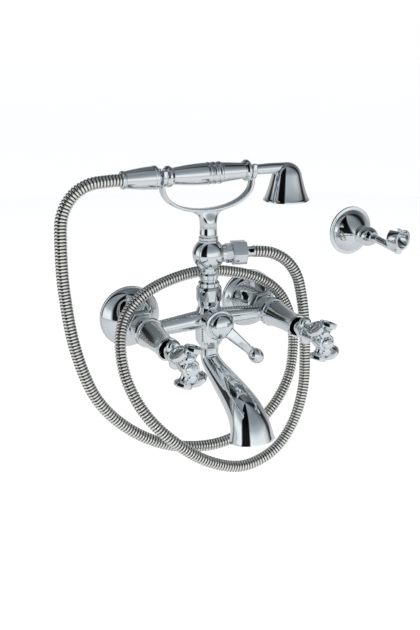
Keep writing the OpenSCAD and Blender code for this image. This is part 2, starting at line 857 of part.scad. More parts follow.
module spout_nipple() {
    color(brass) at_column(-core_drop)
        tube(-spout_nipple_down, spout_nipple_up - 1, spout_nipple_r, spout_nipple_bore);
}

function curve_point(p, t) =
    let (s = 1 - t) s * s * s * p[0] + 3 * s * s * t * p[1] + 3 * s * t * t * p[2] + t * t * t * p[3];

module spout() {
    sides = 32;
    steps = 11;
    run = spout_nipple_down + 1;
    bend_y = spout_reach * 0.3;
    bend_z = -core_drop - 26;
    first = [[0, 0, -core_drop - run], [0, 0, -core_drop - run - 8],
        [0, -bend_y * 0.4, bend_z + 4.5], [0, -bend_y, bend_z]];
    second = [[0, -bend_y, bend_z], [0, -spout_reach * 0.66, bend_z - 10.5],
        [0, -spout_reach + 3, -spout_drop + 28], [0, -spout_reach, -spout_drop]];
    middle = concat([[0, 0, -core_drop]], [for (i = [0:steps]) curve_point(first, i / steps)],
        [for (i = [1:steps]) curve_point(second, i / steps)]);
    n = len(middle);
    sums = running(middle);
    dirs = [for (i = [0:n - 1]) i < 2 ? [0, 0, -1] : i == n - 1 ? [0, -sin(mouth_tilt), -cos(mouth_tilt)]
        : directions(middle)[i]];
    share = [for (s = sums) max(0, s - run) / (sums[n - 1] - run)];
    function outer_r(i) = spout_root_r + (spout_mouth_r - spout_root_r) * pow(share[i], 1.15);
    function inner_r(i) = max(spout_nipple_r + 2 * seat_gap, outer_r(i) - spout_wall);
    outer = [for (i = [0:n - 1]) ring_points(middle[i], dirs[i], [1, 0, 0], outer_r(i), sides)];
    inner = [for (i = [0:n - 1]) ring_points(middle[i], dirs[i], [1, 0, 0], inner_r(i), sides)];
    color(chrome) at_column(0) swept_shell(outer, inner, sides);
}

module at_spout_screw() {
    at_column(spout_screw_z) rotate([0, 0, -spout_screw_turn]) rotate([90, 0, 0]) children();
}

module spout_screw_cut() {
    at_spout_screw() rod(spout_nipple_r - 1, core_r + 4, spout_screw_r + seat_gap);
}

module spout_screw() {
    color(steel) at_spout_screw() difference() {
        rod(spout_nipple_r + seat_gap, core_r - 2.2, spout_screw_r);
        hex(core_r - 4.2, core_r, 2);
    }
}

// Column, ball and hose outlet

module column_ball() {
    color(chrome) difference() {
        union() {
            at_column(0) {
                revolve([[0, cup_top - column_thread_len],
                    [column_thread_r, cup_top - column_thread_len], [column_thread_r, cup_top],
                    [collar_r + 0.6, cup_top], [collar_r + 1.2, cup_top + 1.2], [collar_r + 1.2, cup_top + 5],
                    [collar_r - 1, cup_top + 7], [collar_r - 1, cup_top + 8.5], [collar_r, cup_top + 9.5],
                    [collar_r, cup_top + 14], [collar_r - 1.4, cup_top + 16], [collar_r - 1.4, cup_top + 18],
                    [ball_neck_r, ball_height - ball_shoulder + 1],
                    [0, ball_height]]);
                translate([0, 0, ball_height]) sphere(r = ball_r);
                rod(ball_height + 3, ball_top, ball_neck_r);
            }
            at_outlet() rod(3, outlet_neck, outlet_boss_r);
        }
        at_column(0) rod(cup_top - 11, ball_height + 6, column_bore);
        at_column(0) rod(cradle_pin_start, ball_top + 2, cradle_pin_r + seat_gap);
        at_column(0) rod(ball_top, ball_top + ball_r, ball_r);
        at_outlet() rod(1, outlet_neck + 1, outlet_bore);
        at_outlet() rod(outlet_socket, outlet_neck + 1, outlet_pin_r + seat_gap);
    }
}

// Rubber ring under the column's lower collar
module column_seal() {
    color(rubber) at_column(cup_top - 12) tube(0, 2 - seat_gap, column_thread_r - 0.4, column_bore + 0.2);
}

module hose_outlet() {
    color(bright) at_outlet() difference() {
        union() {
            rod(outlet_socket + seat_gap, outlet_neck + eps, outlet_pin_r);
            translate([0, 0, outlet_neck]) rotate(22.5)
                cylinder(h = outlet_neck_t, r = hose_thread_r + 0.6, $fn = 8);
            rod(outlet_neck, outlet_end, hose_thread_r - 0.6);
            rod(hose_nut_start, outlet_end, hose_thread_r);
        }
        rod(outlet_socket, outlet_end + 1, outlet_bore);
    }
}

module outlet_washer() {
    color(rubber) at_outlet() tube(outlet_end, outlet_washer_end, hose_thread_r - 0.6, ferrule_bore);
}

module hose_nut() {
    color(bright) at_outlet() difference() {
        hex(hose_nut_start, hose_nut_end, hose_nut_af);
        rod(hose_nut_start - 1, hose_nut_end - hose_nut_wall, hose_thread_r + seat_gap);
        rod(hose_nut_start, hose_nut_end + 1, ferrule_r + seat_gap);
    }
}

module hose_ferrule() {
    color(chrome) at_outlet() difference() {
        union() {
            rod(outlet_washer_end, outlet_washer_end + ferrule_flange_t, hose_thread_r - 0.4);
            rod(outlet_washer_end, hose_from, ferrule_r);
        }
        rod(outlet_washer_end - 1, hose_from + 1, ferrule_bore);
    }
}

// Ribbed hose

hose_curve = spline(hose_route, 8);
hose_sums = running(hose_curve);
hose_length = hose_sums[len(hose_sums) - 1];
// Rings of the hose: a crest and a groove for each rib, between two plain ends
hose_rings = 2 * hose_ribs;
hose_middle = [for (i = [0:hose_rings]) at_length(hose_curve, hose_sums, hose_length * i / hose_rings)];
hose_runs = directions(hose_middle);
hose_dirs = [for (i = [0:hose_rings])
    i == 0 ? [cos(outlet_turn), -sin(outlet_turn), 0] : i == hose_rings ? [1, 0, 0] : hose_runs[i]];
hose_ups = side_vectors(hose_dirs);

// Least distance between stretches of the hose that are not neighbours, less its width
hose_self_gap = min([for (i = [0:4:hose_rings - 30]) for (j = [i + 30:4:hose_rings])
    norm(hose_middle[i] - hose_middle[j])]) - 2 * hose_r;

module hose() {
    every = 4;
    outer = [for (i = [0:hose_rings]) ring_points(hose_middle[i], hose_dirs[i], hose_ups[i],
        i % 2 == 0 && i > 0 && i < hose_rings ? hose_r - hose_groove : hose_r, hose_sides)];
    inner = [for (i = [0:every:hose_rings])
        ring_points(hose_middle[i], hose_dirs[i], hose_ups[i], hose_bore, hose_sides)];
    color(steel) swept_shell(outer, inner, hose_sides);
}

echo(hose_length_mm = hose_length, hose_self_gap_mm = hose_self_gap);

// Cradle

module cradle_collar() {
    color(chrome) at_column(0) difference() {
        revolve([[0, ball_top], [ball_neck_r - 0.6, ball_top], [ball_neck_r, ball_top + 1],
            [ball_neck_r, ball_top + 3.5], [ball_neck_r - 1.4, ball_top + 4.5],
            [ball_neck_r - 1.4, collar_top - 1], [ball_neck_r - 2, collar_top], [0, collar_top]]);
        rod(ball_top - 1, collar_top + 1, cradle_pin_r + seat_gap);
    }
}

// Outline of the ribbon seen from the front: a wide bowl with upright ends
function bowl(half, depth, angle) =
    [half * sin(angle), -depth * pow(max(0, cos(angle)), 0.8)];

module cradle() {
    top = handset_height;
    rise = 8;
    steps = 28;
    outer = [for (i = [0:steps]) let (a = -90 + 180 * i / steps) bowl(cradle_half, cradle_depth - rise, a)];
    inner = [for (i = [steps:-1:0]) let (a = -90 + 180 * i / steps)
        bowl(cradle_half - ribbon_t, cradle_depth - rise - ribbon_t, a)];
    stem_top = cradle_bottom + 1.4;
    color(chrome) union() {
        at_column(top - rise) rotate([90, 0, 0]) translate([0, 0, -ribbon_w / 2])
            linear_extrude(height = ribbon_w) polygon(concat(outer, inner));
        for (side = [-1, 1]) {
            slot = (side < 0 ? neck_r : head_arm_r) + fork_gap;
            translate([side * (cradle_half - fork_t / 2), -column_reach, handset_height]) rotate([0, 90, 0])
                translate([0, 0, -fork_t / 2]) difference() {
                    union() {
                        cylinder(h = fork_t, r = fork_r);
                        translate([0, -ribbon_w / 2, 0]) cube([fork_r + 1.5, ribbon_w, fork_t]);
                    }
                    translate([0, 0, -1]) cylinder(h = fork_t + 2, r = slot);
                    translate([-fork_r - 1, -slot, -1]) cube([fork_r + 1, 2 * slot, fork_t + 2]);
                }
        }
        at_column(0) {
            rod(cradle_pin_start + seat_gap, collar_top + eps, cradle_pin_r);
            revolve([[0, collar_top], [stem_r - 0.8, collar_top], [stem_r, collar_top + 1],
                [stem_r - 0.5, stem_top - 6], [stem_r, stem_top - 3], [stem_r + 1.6, stem_top],
                [0, stem_top]]);
        }
    }
}

// Handset

module at_handset() {
    at_column(handset_height) to_right(0) children();
}

module cone_nut() {
    tip_r = hose_r + 2.2;
    color(bright) at_handset() difference() {
        revolve([[0, cone_back], [tip_r - 0.4, cone_back], [tip_r + 0.6, cone_back + 1],
            [tip_r + 0.6, cone_back + 3.5], [tip_r, cone_back + 4.2], [cone_nut_r - 1.6, cone_front - 18],
            [cone_nut_r - 0.5, cone_front - 4.2], [cone_nut_r, cone_front - 3.4],
            [cone_nut_r, cone_front - 1],
            [cone_nut_r - 0.8, cone_front], [0, cone_front]]);
        rod(cone_ferrule_end, cone_front + 1, hose_thread_r + seat_gap);
        rod(cone_back - 1, cone_front, hose_r + seat_gap);
    }
}

module handset_ferrule() {
    color(chrome) at_handset() difference() {
        union() {
            rod(cone_back, cone_ferrule_end + eps, ferrule_r);
            rod(cone_ferrule_end, tail_washer_end, hose_thread_r - 0.4);
        }
        rod(cone_back - 1, cone_front, ferrule_bore);
    }
}

module handset_washer() {
    color(rubber) at_handset() tube(tail_washer_end, tail_thread_end, hose_thread_r - 0.6, ferrule_bore);
}

module handset_tail() {
    color(chrome) at_handset() difference() {
        union() {
            rod(tail_thread_end, cone_front, hose_thread_r);
            rod(tail_thread_end, -neck_end + 1, neck_r);
            revolve([[0, -neck_end], [bead_r - 1.8, -neck_end], [bead_r, -neck_end + 2],
                [bead_r, -neck_end + 4.5], [bead_r - 1.8, grip_start], [0, grip_start]]);
            rod(grip_start, grip_start + tail_pin_len, tail_pin_r);
        }
        rod(tail_thread_end - 1, grip_start + tail_pin_len + 1, handset_bore);
    }
}

module handset_grip() {
    steps = 12;
    length = grip_stop - grip_start;
    rib_at = [0, 6.2, 12.4];
    profile = [for (i = [0:steps]) let (u = i / steps)
        [grip_end_r + (grip_r - grip_end_r) * pow(sin(180 * pow(u, 0.86)), 1.2), grip_start + length * u]];
    color(bright) at_handset() difference() {
        union() {
            revolve(concat([[0, grip_start]], profile, [[0, grip_stop]]));
            for (x = rib_at) {
                revolve([[0, x - 1.3], [grip_r - 0.6, x - 1.3], [grip_r + 0.5, x],
                    [grip_r - 0.6, x + 1.3], [0, x + 1.3]]);
            }
        }
        rod(grip_start - 1, grip_stop + 1, handset_bore);
        rod(grip_start - 1, grip_start + tail_pin_len + 0.2, tail_pin_r + seat_gap);
        rod(grip_stop - tail_pin_len - 0.2, grip_stop + 1, tail_pin_r + seat_gap);
    }
}

module handset_ring() {
    color(chrome) at_handset() difference() {
        revolve([[0, grip_stop], [bead_r - 1, grip_stop], [bead_r + 0.4, grip_stop + 1.8],
            [bead_r + 0.4, grip_stop + 3.8], [bead_r - 1.6, neck_end], [0, neck_end]]);
        rod(grip_stop - 1, neck_end + 1, tail_pin_r + seat_gap);
    }
}

// Outline of the bell: a round crown and a gentle flare out to the rim
function bell_outline(inset) = concat(
    [for (i = [0:8]) let (a = 90 - 10 * i)
        [(bell_top_r - inset) * cos(a), bell_shoulder + (bell_top_r - inset) * sin(a)]],
    [for (i = [0:8]) let (u = i / 8)
        [bell_top_r - inset + (bell_rim_r - bell_lip - bell_top_r) * pow(u, 1.15),
         bell_shoulder + (bell_lip_h - bell_drop - bell_shoulder) * u]]);

module at_bell() {
    at_column(handset_height) translate([bell_offset, 0, 0]) children();
}

module handset_head() {
    color(chrome) difference() {
        union() {
            at_handset() rod(neck_end, bell_offset, head_arm_r);
            at_handset() rod(grip_stop - tail_pin_len, neck_end + eps, tail_pin_r);
            at_bell() revolve(concat(bell_outline(0), [[bell_rim_r, bell_lip_h - 0.7 - bell_drop],
                [bell_rim_r, -bell_drop], [0, -bell_drop]]));
        }
        at_handset() rod(grip_stop - tail_pin_len - 1, bell_offset, handset_bore);
        at_bell() revolve(concat(bell_outline(bell_wall),
            [[bell_rim_r - bell_wall - bell_lip, -bell_drop - 1], [0, -bell_drop - 1]]));
    }
}

module spray_face() {
    rings = [[8, 8], [15, 14], [21, 20]];
    color(chrome) at_bell() difference() {
        rod(face_bottom, face_bottom + face_t, face_r);
        rod(face_bottom - 1, face_bottom + face_t + 1, face_screw_r + seat_gap);
        for (ring = rings) for (i = [1:ring[1]]) {
            rotate(360 * i / ring[1]) translate([ring[0], 0, 0])
                rod(face_bottom - 1, face_bottom + face_t + 1, spray_hole_r);
        }
    }
}

module spray_screw() {
    color(bright) at_bell() union() {
        rod(face_bottom - eps, face_bottom + 8, face_screw_r);
        revolve([[0, face_bottom - 2.6], [face_screw_head_r - 1.4, face_bottom - 2.2],
            [face_screw_head_r, face_bottom - 0.8], [face_screw_head_r, face_bottom], [0, face_bottom]]);
    }
}

// Wall bracket that stands beside the mixer

module bracket_plate() {
    color(steel) at_bracket() to_front(0) difference() {
        union() {
            rod(0, bracket_plate_t, bracket_plate_r);
            rod(0, bracket_stud_end, bracket_stud_r);
        }
        for (side = [-1, 1]) {
            translate([side * bracket_hole, 0, 0]) rod(-1, bracket_plate_t + 1, bracket_thread_r + seat_gap);
        }
    }
}

module bracket_screws() {
    color(brass) at_bracket() to_front(0) for (side = [-1, 1]) {
        translate([side * bracket_hole, 0, 0]) {
            rod(-stub_len, 0, bracket_thread_r);
            rod(-1, bracket_plate_t + eps, bracket_shank_r);
            cone(bracket_plate_t, bracket_plate_t + bracket_head_t,
                bracket_thread_r + 1.8, bracket_thread_r + 0.8);
        }
    }
}

module bracket_flange() {
    color(chrome) at_bracket() to_front(0)
        bell_flange(bracket_r, bracket_flat, bracket_depth, flange_lip, flange_wall,
            bracket_stud_r + face_gap);
}

module swivel_nut() {
    end = swivel_start + swivel_len;
    color(chrome) at_bracket() to_front(0) difference() {
        revolve([[0, swivel_start], [swivel_r - 0.6, swivel_start], [swivel_r, swivel_start + 0.8],
            [swivel_r, swivel_start + 7], [swivel_r - 1, swivel_start + 8], [swivel_r - 1, swivel_start + 9],
            [swivel_r + 0.6, swivel_start + 10.5], [swivel_r + 0.6, swivel_start + 15],
            [swivel_r - 2.4, swivel_start + 21], [swivel_r - 4, end], [0, end]]);
        rod(swivel_start - 1, swivel_start + 5.6, bracket_stud_r + seat_gap);
        translate([0, 0, swivel_ball]) sphere(r = swivel_ball_r + face_gap);
        rod(swivel_ball, end + 1, bracket_arm_r + run_gap);
    }
}

module at_clip() {
    at_bracket() translate([0, -clip_reach, clip_rise]) rotate([0, 0, -clip_turn])
        rotate([90, 0, 0]) children();
}

module bracket_arm() {
    run = clip_reach - arm_bend + 4;
    color(chrome) difference() {
        union() {
            at_bracket() to_front(0) {
                translate([0, 0, swivel_ball]) sphere(r = swivel_ball_r);
                rod(swivel_ball, arm_bend + 3, bracket_arm_r);
            }
            at_bracket() translate([0, -arm_bend, 0]) rotate([90 + arm_slope, 0, 0])
                cylinder(h = run, r = bracket_arm_r - 0.3);
            at_clip() cylinder(h = clip_len, r = clip_r, center = true);
        }
        at_clip() cylinder(h = 3 * clip_len, r = clip_bore, center = true);
        at_clip() translate([-clip_slot / 2, 0, -2 * clip_len]) cube([clip_slot, clip_r + 5, 4 * clip_len]);
    }
}

wall_flange(-1);  // hot_flange
wall_flange(1);  // cold_flange
wall_union(-1);  // hot_union
wall_union(1);  // cold_union
union_nut(-1);  // hot_union_nut
union_nut(1);  // cold_union_nut
inlet_washer(-1);  // hot_washer
inlet_washer(1);  // cold_washer
mixer_body();
cartridge(-1);  // hot_cartridge
cartridge(1);  // cold_cartridge
fixed_disc(-1);  // hot_fixed_disc
fixed_disc(1);  // cold_fixed_disc
turning_disc(-1);  // hot_turning_disc
turning_disc(1);  // cold_turning_disc
spindle(-1);  // hot_spindle
spindle(1);  // cold_spindle
shroud(-1);  // hot_shroud
shroud(1);  // cold_shroud
handle(-1);  // hot_handle
handle(1);  // cold_handle
handle_screw(-1);  // hot_handle_screw
handle_screw(1);  // cold_handle_screw
handle_cap(-1);  // hot_handle_cap
handle_cap(1);  // cold_handle_cap
diverter_bonnet();
diverter_spindle();
diverter_plug();
diverter_lever();
lever_knob();
lever_screw();
spout_nipple();
spout();
spout_screw();
column_ball();
column_seal();
hose_outlet();
outlet_washer();
hose_nut();
hose_ferrule();
hose();
handset_ferrule();
cradle_collar();
cradle();
cone_nut();
handset_washer();
handset_tail();
handset_grip();
handset_ring();
handset_head();
spray_face();
spray_screw();
bracket_plate();
bracket_screws();
bracket_flange();
swivel_nut();
bracket_arm();
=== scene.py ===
"""Bath shower mixer with a telephone handset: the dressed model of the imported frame, in metres."""

import json
from math import cos, pi, radians, sin

import bpy
from mathutils import Matrix, Vector


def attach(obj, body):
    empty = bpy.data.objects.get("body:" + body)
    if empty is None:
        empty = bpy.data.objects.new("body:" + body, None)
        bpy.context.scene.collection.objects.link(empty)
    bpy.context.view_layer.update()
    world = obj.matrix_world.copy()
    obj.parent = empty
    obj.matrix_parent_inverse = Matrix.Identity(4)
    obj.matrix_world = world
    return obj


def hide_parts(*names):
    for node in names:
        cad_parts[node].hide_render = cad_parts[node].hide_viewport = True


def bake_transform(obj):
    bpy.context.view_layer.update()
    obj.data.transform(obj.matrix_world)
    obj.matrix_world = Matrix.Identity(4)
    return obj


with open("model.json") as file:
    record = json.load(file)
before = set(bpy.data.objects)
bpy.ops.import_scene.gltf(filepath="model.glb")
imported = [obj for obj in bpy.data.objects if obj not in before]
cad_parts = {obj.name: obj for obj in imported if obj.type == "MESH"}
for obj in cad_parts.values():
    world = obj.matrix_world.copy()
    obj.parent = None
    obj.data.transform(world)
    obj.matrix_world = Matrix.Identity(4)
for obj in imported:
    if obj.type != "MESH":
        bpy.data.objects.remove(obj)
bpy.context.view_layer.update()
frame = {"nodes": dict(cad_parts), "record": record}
mm = 0.001

# Camera
# The photograph was taken from the left of the mixer and a little above it, with a short
# telephoto lens; the values come from the inlet spacing and the mouth of the spout.
camera_place = Vector((-0.33913, -0.76467, 0.27998))
camera_aim = Vector((-0.00362, -0.060, 0.00850))
camera_roll = radians(-0.45)
focal_px = 760
photo_height_px = 630
sensor_mm = 36

bpy.ops.object.select_all(action="DESELECT")
bpy.ops.object.camera_add()
camera = bpy.context.object
camera.data.sensor_width = sensor_mm
camera.data.lens = focal_px * sensor_mm / photo_height_px
camera.data.clip_end = 50
forward = (camera_aim - camera_place).normalized()
right = forward.cross(Vector((0, 0, 1))).normalized()
level = Matrix((right, right.cross(forward), -forward)).transposed().to_4x4()
camera.matrix_world = Matrix.Translation(camera_place) @ level @ Matrix.Rotation(camera_roll, 4, "Z")
bpy.context.scene.camera = camera

# Wall flanges
# Two bell-shaped covers of spun brass sheet, chrome plated, with a flat rim that lies on the
# tiles. They slip over the wall unions and hide the holes in the wall.
inlet_x = 75 * mm
flange_r, flange_flat, flange_depth, flange_lip, flange_wall = 35, 1.2, 28, 2.5, 1.8
flange_bore = 12.3

# Faint marks that handling and wiping leave on metal, as shifts of gloss, tint and level
marks = bpy.data.node_groups.new("handling_marks", "ShaderNodeTree")
for socket, start in (("Scale", 60.0), ("Low", 0.04), ("High", 0.1)):
    marks.interface.new_socket(socket, in_out="INPUT", socket_type="NodeSocketFloat").default_value = start
for socket in ("Gloss", "Film", "Level"):
    marks.interface.new_socket(socket, in_out="OUTPUT", socket_type="NodeSocketFloat")
group_in = marks.nodes.new("NodeGroupInput")
group_out = marks.nodes.new("NodeGroupOutput")
spot = marks.nodes.new("ShaderNodeTexCoord")
broad = marks.nodes.new("ShaderNodeTexNoise")
broad.inputs["Detail"].default_value = 3
fine = marks.nodes.new("ShaderNodeTexNoise")
fine.inputs["Scale"].default_value = 420
fine.inputs["Detail"].default_value = 6
both = marks.nodes.new("ShaderNodeMath")
both.operation = "MULTIPLY"
spread = marks.nodes.new("ShaderNodeMapRange")
spread.inputs["From Min"].default_value = 0.12
spread.inputs["From Max"].default_value = 0.42
marks.links.new(spot.outputs["Object"], broad.inputs["Vector"])
marks.links.new(spot.outputs["Object"], fine.inputs["Vector"])
marks.links.new(group_in.outputs["Scale"], broad.inputs["Scale"])
marks.links.new(broad.outputs["Fac"], both.inputs[0])
marks.links.new(fine.outputs["Fac"], both.inputs[1])
marks.links.new(both.outputs[0], spread.inputs["Value"])
marks.links.new(group_in.outputs["Low"], spread.inputs["To Min"])
marks.links.new(group_in.outputs["High"], spread.inputs["To Max"])
marks.links.new(spread.outputs["Result"], group_out.inputs["Gloss"])
marks.links.new(broad.outputs["Fac"], group_out.inputs["Film"])
marks.links.new(broad.outputs["Fac"], group_out.inputs["Level"])


def finish_of(name, light, deep, metallic, low, high, scale, wave=0.0):
    """A material whose colour, gloss and evenness vary a little over the surface."""
    material = bpy.data.materials.new(name)
    material.use_nodes = True
    nodes, links = material.node_tree.nodes, material.node_tree.links
    surface = nodes["Principled BSDF"]
    surface.inputs["Metallic"].default_value = metallic
    worn = nodes.new("ShaderNodeGroup")
    worn.node_tree = marks
    worn.name = "marks"
    worn.inputs["Scale"].default_value = scale
    worn.inputs["Low"].default_value = low
    worn.inputs["High"].default_value = high
    tint = nodes.new("ShaderNodeMix")
    tint.data_type = "RGBA"
    tint.name = "tint"
    tint.inputs["A"].default_value = (*light, 1)
    tint.inputs["B"].default_value = (*deep, 1)
    links.new(worn.outputs["Film"], tint.inputs["Factor"])
    links.new(tint.outputs["Result"], surface.inputs["Base Color"])
    links.new(worn.outputs["Gloss"], surface.inputs["Roughness"])
    if wave:
        ripple = nodes.new("ShaderNodeBump")
        ripple.inputs["Strength"].default_value = wave
        ripple.inputs["Distance"].default_value = 0.001
        links.new(worn.outputs["Level"], ripple.inputs["Height"])
        links.new(ripple.outputs["Normal"], surface.inputs["Normal"])
    return material


chrome = finish_of("chrome_plate", (0.80, 0.835, 0.855), (0.74, 0.78, 0.805), 1, 0.02, 0.055, 38, wave=0.03)


def to_front(x, z, distance=0):
    """Place of a piece whose axis points from the wall to the front."""
    return Matrix.Translation((x, -distance, z)) @ Matrix.Rotation(radians(90), 4, "X")


def turned(name, outline, place, segments=80, crease=32):
    """A turned piece: its outline, as radius and height in millimetres, drawn and spun about the axis."""
    bpy.ops.object.select_all(action="DESELECT")
    bpy.ops.mesh.primitive_plane_add(size=mm)
    piece = bpy.context.object
    piece.name = name
    bpy.ops.object.mode_set(mode="EDIT")
    bpy.ops.mesh.select_mode(type="VERT")
    bpy.ops.mesh.select_all(action="SELECT")
    bpy.ops.mesh.merge(type="CENTER")
    before = Vector((0, 0, 0))
    for i, (radius, height) in enumerate(outline):
        here = Vector((radius * mm, 0, height * mm))
        if i == 0:
            bpy.ops.transform.translate(value=here)
        else:
            bpy.ops.mesh.extrude_vertices_move(TRANSFORM_OT_translate={"value": here - before})
        before = here
    bpy.ops.mesh.select_all(action="SELECT")
    bpy.ops.mesh.spin(steps=segments, angle=2 * pi, center=(0, 0, 0), axis=(0, 0, 1))
    bpy.ops.mesh.select_all(action="SELECT")
    bpy.ops.mesh.remove_doubles(threshold=0.002 * mm)
    bpy.ops.mesh.normals_make_consistent(inside=False)
    bpy.ops.object.mode_set(mode="OBJECT")
    bpy.ops.object.shade_smooth_by_angle(angle=radians(crease))
    piece.matrix_world = place
    bpy.ops.object.transform_apply(location=True, rotation=True, scale=True)
    return piece


def twin(piece, name, shift):
    """A copy of a piece, with a mesh of its own, moved to the other valve."""
    bpy.ops.object.select_all(action="DESELECT")
    piece.select_set(True)
    bpy.context.view_layer.objects.active = piece
    bpy.ops.object.duplicate()
    copy = bpy.context.object
    copy.name = name
    copy.location = shift
    bpy.ops.object.transform_apply(location=True, rotation=True, scale=True)
    return copy


def fit(piece, material, body, *nodes, slot="chrome"):
    """Gives a piece its finish and its body, in place of the solids that it stands for."""
    piece.data.materials.clear()
    piece.data.materials.append(material)
    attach(piece, body)
    if nodes:
        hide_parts(*nodes)
    return piece


def bell_cover(rim, flat, depth, lip, wall, bore):
    """Outline of a wall cover: flat rim, swelling side and the neck round its pipe."""
    steps = 30
    neck = bore + wall
    outer = []
    for i in range(steps + 1):
        u = i / steps
        outer.append((neck + (rim - flat - neck) * (1 - u ** 1.6), lip + (depth - lip) * u))
    inner = [(max(bore, r - wall), max(lip, h - wall)) for r, h in reversed(outer)]
    inner[-1] = (rim - flat - wall, lip)
    edge = [(rim - 0.3, 0), (rim, 0.3), (rim, lip - 0.8), (rim - 0.25, lip - 0.15), (rim - 0.6, lip)]
    mouth = [(neck + 0.02, depth - 0.35), (neck - 0.25, depth), (bore, depth)]
    return edge + outer[:-1] + mouth + inner + [(rim - flat - wall, 0), (rim - 0.3, 0)]


hot_flange = turned("hot_flange_cover",
                    bell_cover(flange_r, flange_flat, flange_depth, flange_lip, flange_wall, flange_bore),
                    to_front(-inlet_x, 0), segments=128)
cold_flange = twin(hot_flange, "cold_flange_cover", (2 * inlet_x, 0, 0))
fit(hot_flange, chrome, "mixer", "hot_flange")
fit(cold_flange, chrome, "mixer", "cold_flange")

# Union nuts
# Hexagon nuts of forged brass that pull the body's tails against the washers on the unions.
# Their ends are bored to clear the tails, and all edges are rounded by polishing.
nut_across, nut_back, nut_len, nut_bore = 30, 28.5, 12, 12.6


def hexagon_nut(name, across, length, bore, place, rounding=0.5):
    """A hexagon nut that stands on the plane through its place."""
    radius = across / 3 ** 0.5
    bpy.ops.object.select_all(action="DESELECT")
    bpy.ops.mesh.primitive_cylinder_add(vertices=6, radius=radius * mm, depth=length * mm,
                                        location=(0, 0, length / 2 * mm))
    nut = bpy.context.object
    nut.name = name
    bpy.ops.object.transform_apply(location=True, rotation=True, scale=True)
    bpy.ops.object.mode_set(mode="EDIT")
    bpy.ops.mesh.select_mode(type="FACE")
    bpy.ops.mesh.select_all(action="DESELECT")
    bpy.ops.object.mode_set(mode="OBJECT")
    for face in nut.data.polygons:
        face.select = abs(face.normal.z) > 0.9
    bpy.ops.object.mode_set(mode="EDIT")
    bpy.ops.mesh.inset(thickness=(radius - bore) * 0.45 * mm, use_individual=True)
    bpy.ops.mesh.delete(type="FACE")
    bpy.ops.mesh.select_mode(type="EDGE")
    bpy.ops.mesh.select_all(action="DESELECT")
    bpy.ops.object.mode_set(mode="OBJECT")
    inner = (radius - (radius - bore) * 0.2) * mm
    for edge in nut.data.edges:
        edge.select = all(nut.data.vertices[v].co.xy.length < inner for v in edge.vertices)
    bpy.ops.object.mode_set(mode="EDIT")
    bpy.ops.mesh.bridge_edge_loops()
    bpy.ops.mesh.select_all(action="SELECT")
    bpy.ops.mesh.normals_make_consistent(inside=False)
    bpy.ops.object.mode_set(mode="OBJECT")
    soft = nut.modifiers.new("rounding", "BEVEL")
    soft.width = rounding * mm
    soft.segments = 3
    soft.limit_method = "ANGLE"
    bpy.ops.object.modifier_apply(modifier=soft.name)
    bpy.ops.object.shade_smooth_by_angle(angle=radians(35))
    nut.matrix_world = place
    bpy.ops.object.transform_apply(location=True, rotation=True, scale=True)
    return nut


hot_nut = hexagon_nut("hot_union_hexagon", nut_across, nut_len, nut_bore,
                      to_front(-inlet_x, 0, nut_back * mm) @ Matrix.Rotation(radians(30), 4, "Z"))
cold_nut = twin(hot_nut, "cold_union_hexagon", (2 * inlet_x, 0, 0))
fit(hot_nut, chrome, "mixer", "hot_union_nut")
fit(cold_nut, chrome, "mixer", "cold_union_nut")

# Valve shrouds
# Bullet-shaped sleeves of drawn brass tube, chrome plated, pushed on the barrels. They narrow
# to a waist and flare a little at the mouth, where a dark gap shows round the handle's neck.
barrel_end, shroud_reach = 62, 114
shroud_base_r, shroud_waist_r, shroud_mouth_r, shroud_wall = 14.8, 11.4, 12.4, 1.5
shroud_len = shroud_reach - barrel_end
shroud_foot, shroud_lip = 6, 12
shroud_side = [(shroud_base_r - 0.5, 0), (shroud_base_r - 0.1, 0.25), (shroud_base_r, 0.8),
               (shroud_base_r, shroud_foot - 1), (shroud_base_r - 0.1, shroud_foot - 0.5)]
for i in range(31):
    u = i / 30
    shroud_side.append((shroud_waist_r + (shroud_base_r - 0.4 - shroud_waist_r) * (1 - u) ** 1.7,
                        shroud_foot + (shroud_len - shroud_lip - shroud_foot) * u))
for i in range(1, 13):
    u = i / 12
    shroud_side.append((shroud_waist_r + (shroud_mouth_r - shroud_waist_r) * u ** 2,
                        shroud_len - shroud_lip + (shroud_lip - 1) * u))
shroud_side += [(shroud_mouth_r - 0.15, shroud_len - 0.35), (shroud_mouth_r - 0.5, shroud_len)]
shroud_inside = [(r - shroud_wall + (0.3 if h < shroud_foot else 0), h) for r, h in reversed(shroud_side)]
hot_shroud = turned("hot_shroud_sleeve", shroud_side + shroud_inside + shroud_side[:1],
                    to_front(-inlet_x, 0, barrel_end * mm))
cold_shroud = twin(hot_shroud, "cold_shroud_sleeve", (2 * inlet_x, 0, 0))
fit(hot_shroud, chrome, "mixer", "hot_shroud")
fit(cold_shroud, chrome, "mixer", "cold_shroud")

# Handles
# Cast brass cross handles, chrome plated: a turned core, four necks that flare into dished,
# eight-sided ends, two domes in front and a collar with two lobes behind. A cap hides the screw.
handle_reach, handle_start, handle_turn, handle_splay = 162, 104.6, 8, 26
arm_end_r, arm_end_t, arm_reach, arm_dish = 9.4, 4.5, 20, 2.2
dome_out, dome_r, dome_foot, dome_top = 9.5, 6.2, 4, 9.5
lobe_reach, lobe_out, lobe_r, lobe_half = 129, 8.2, 7.5, 4.5
arm_neck = arm_reach - arm_end_t
at_handle = to_front(-inlet_x, 0)
at_cross = (at_handle @ Matrix.Translation((0, 0, handle_reach * mm))
            @ Matrix.Rotation(radians(handle_turn), 4, "Z"))

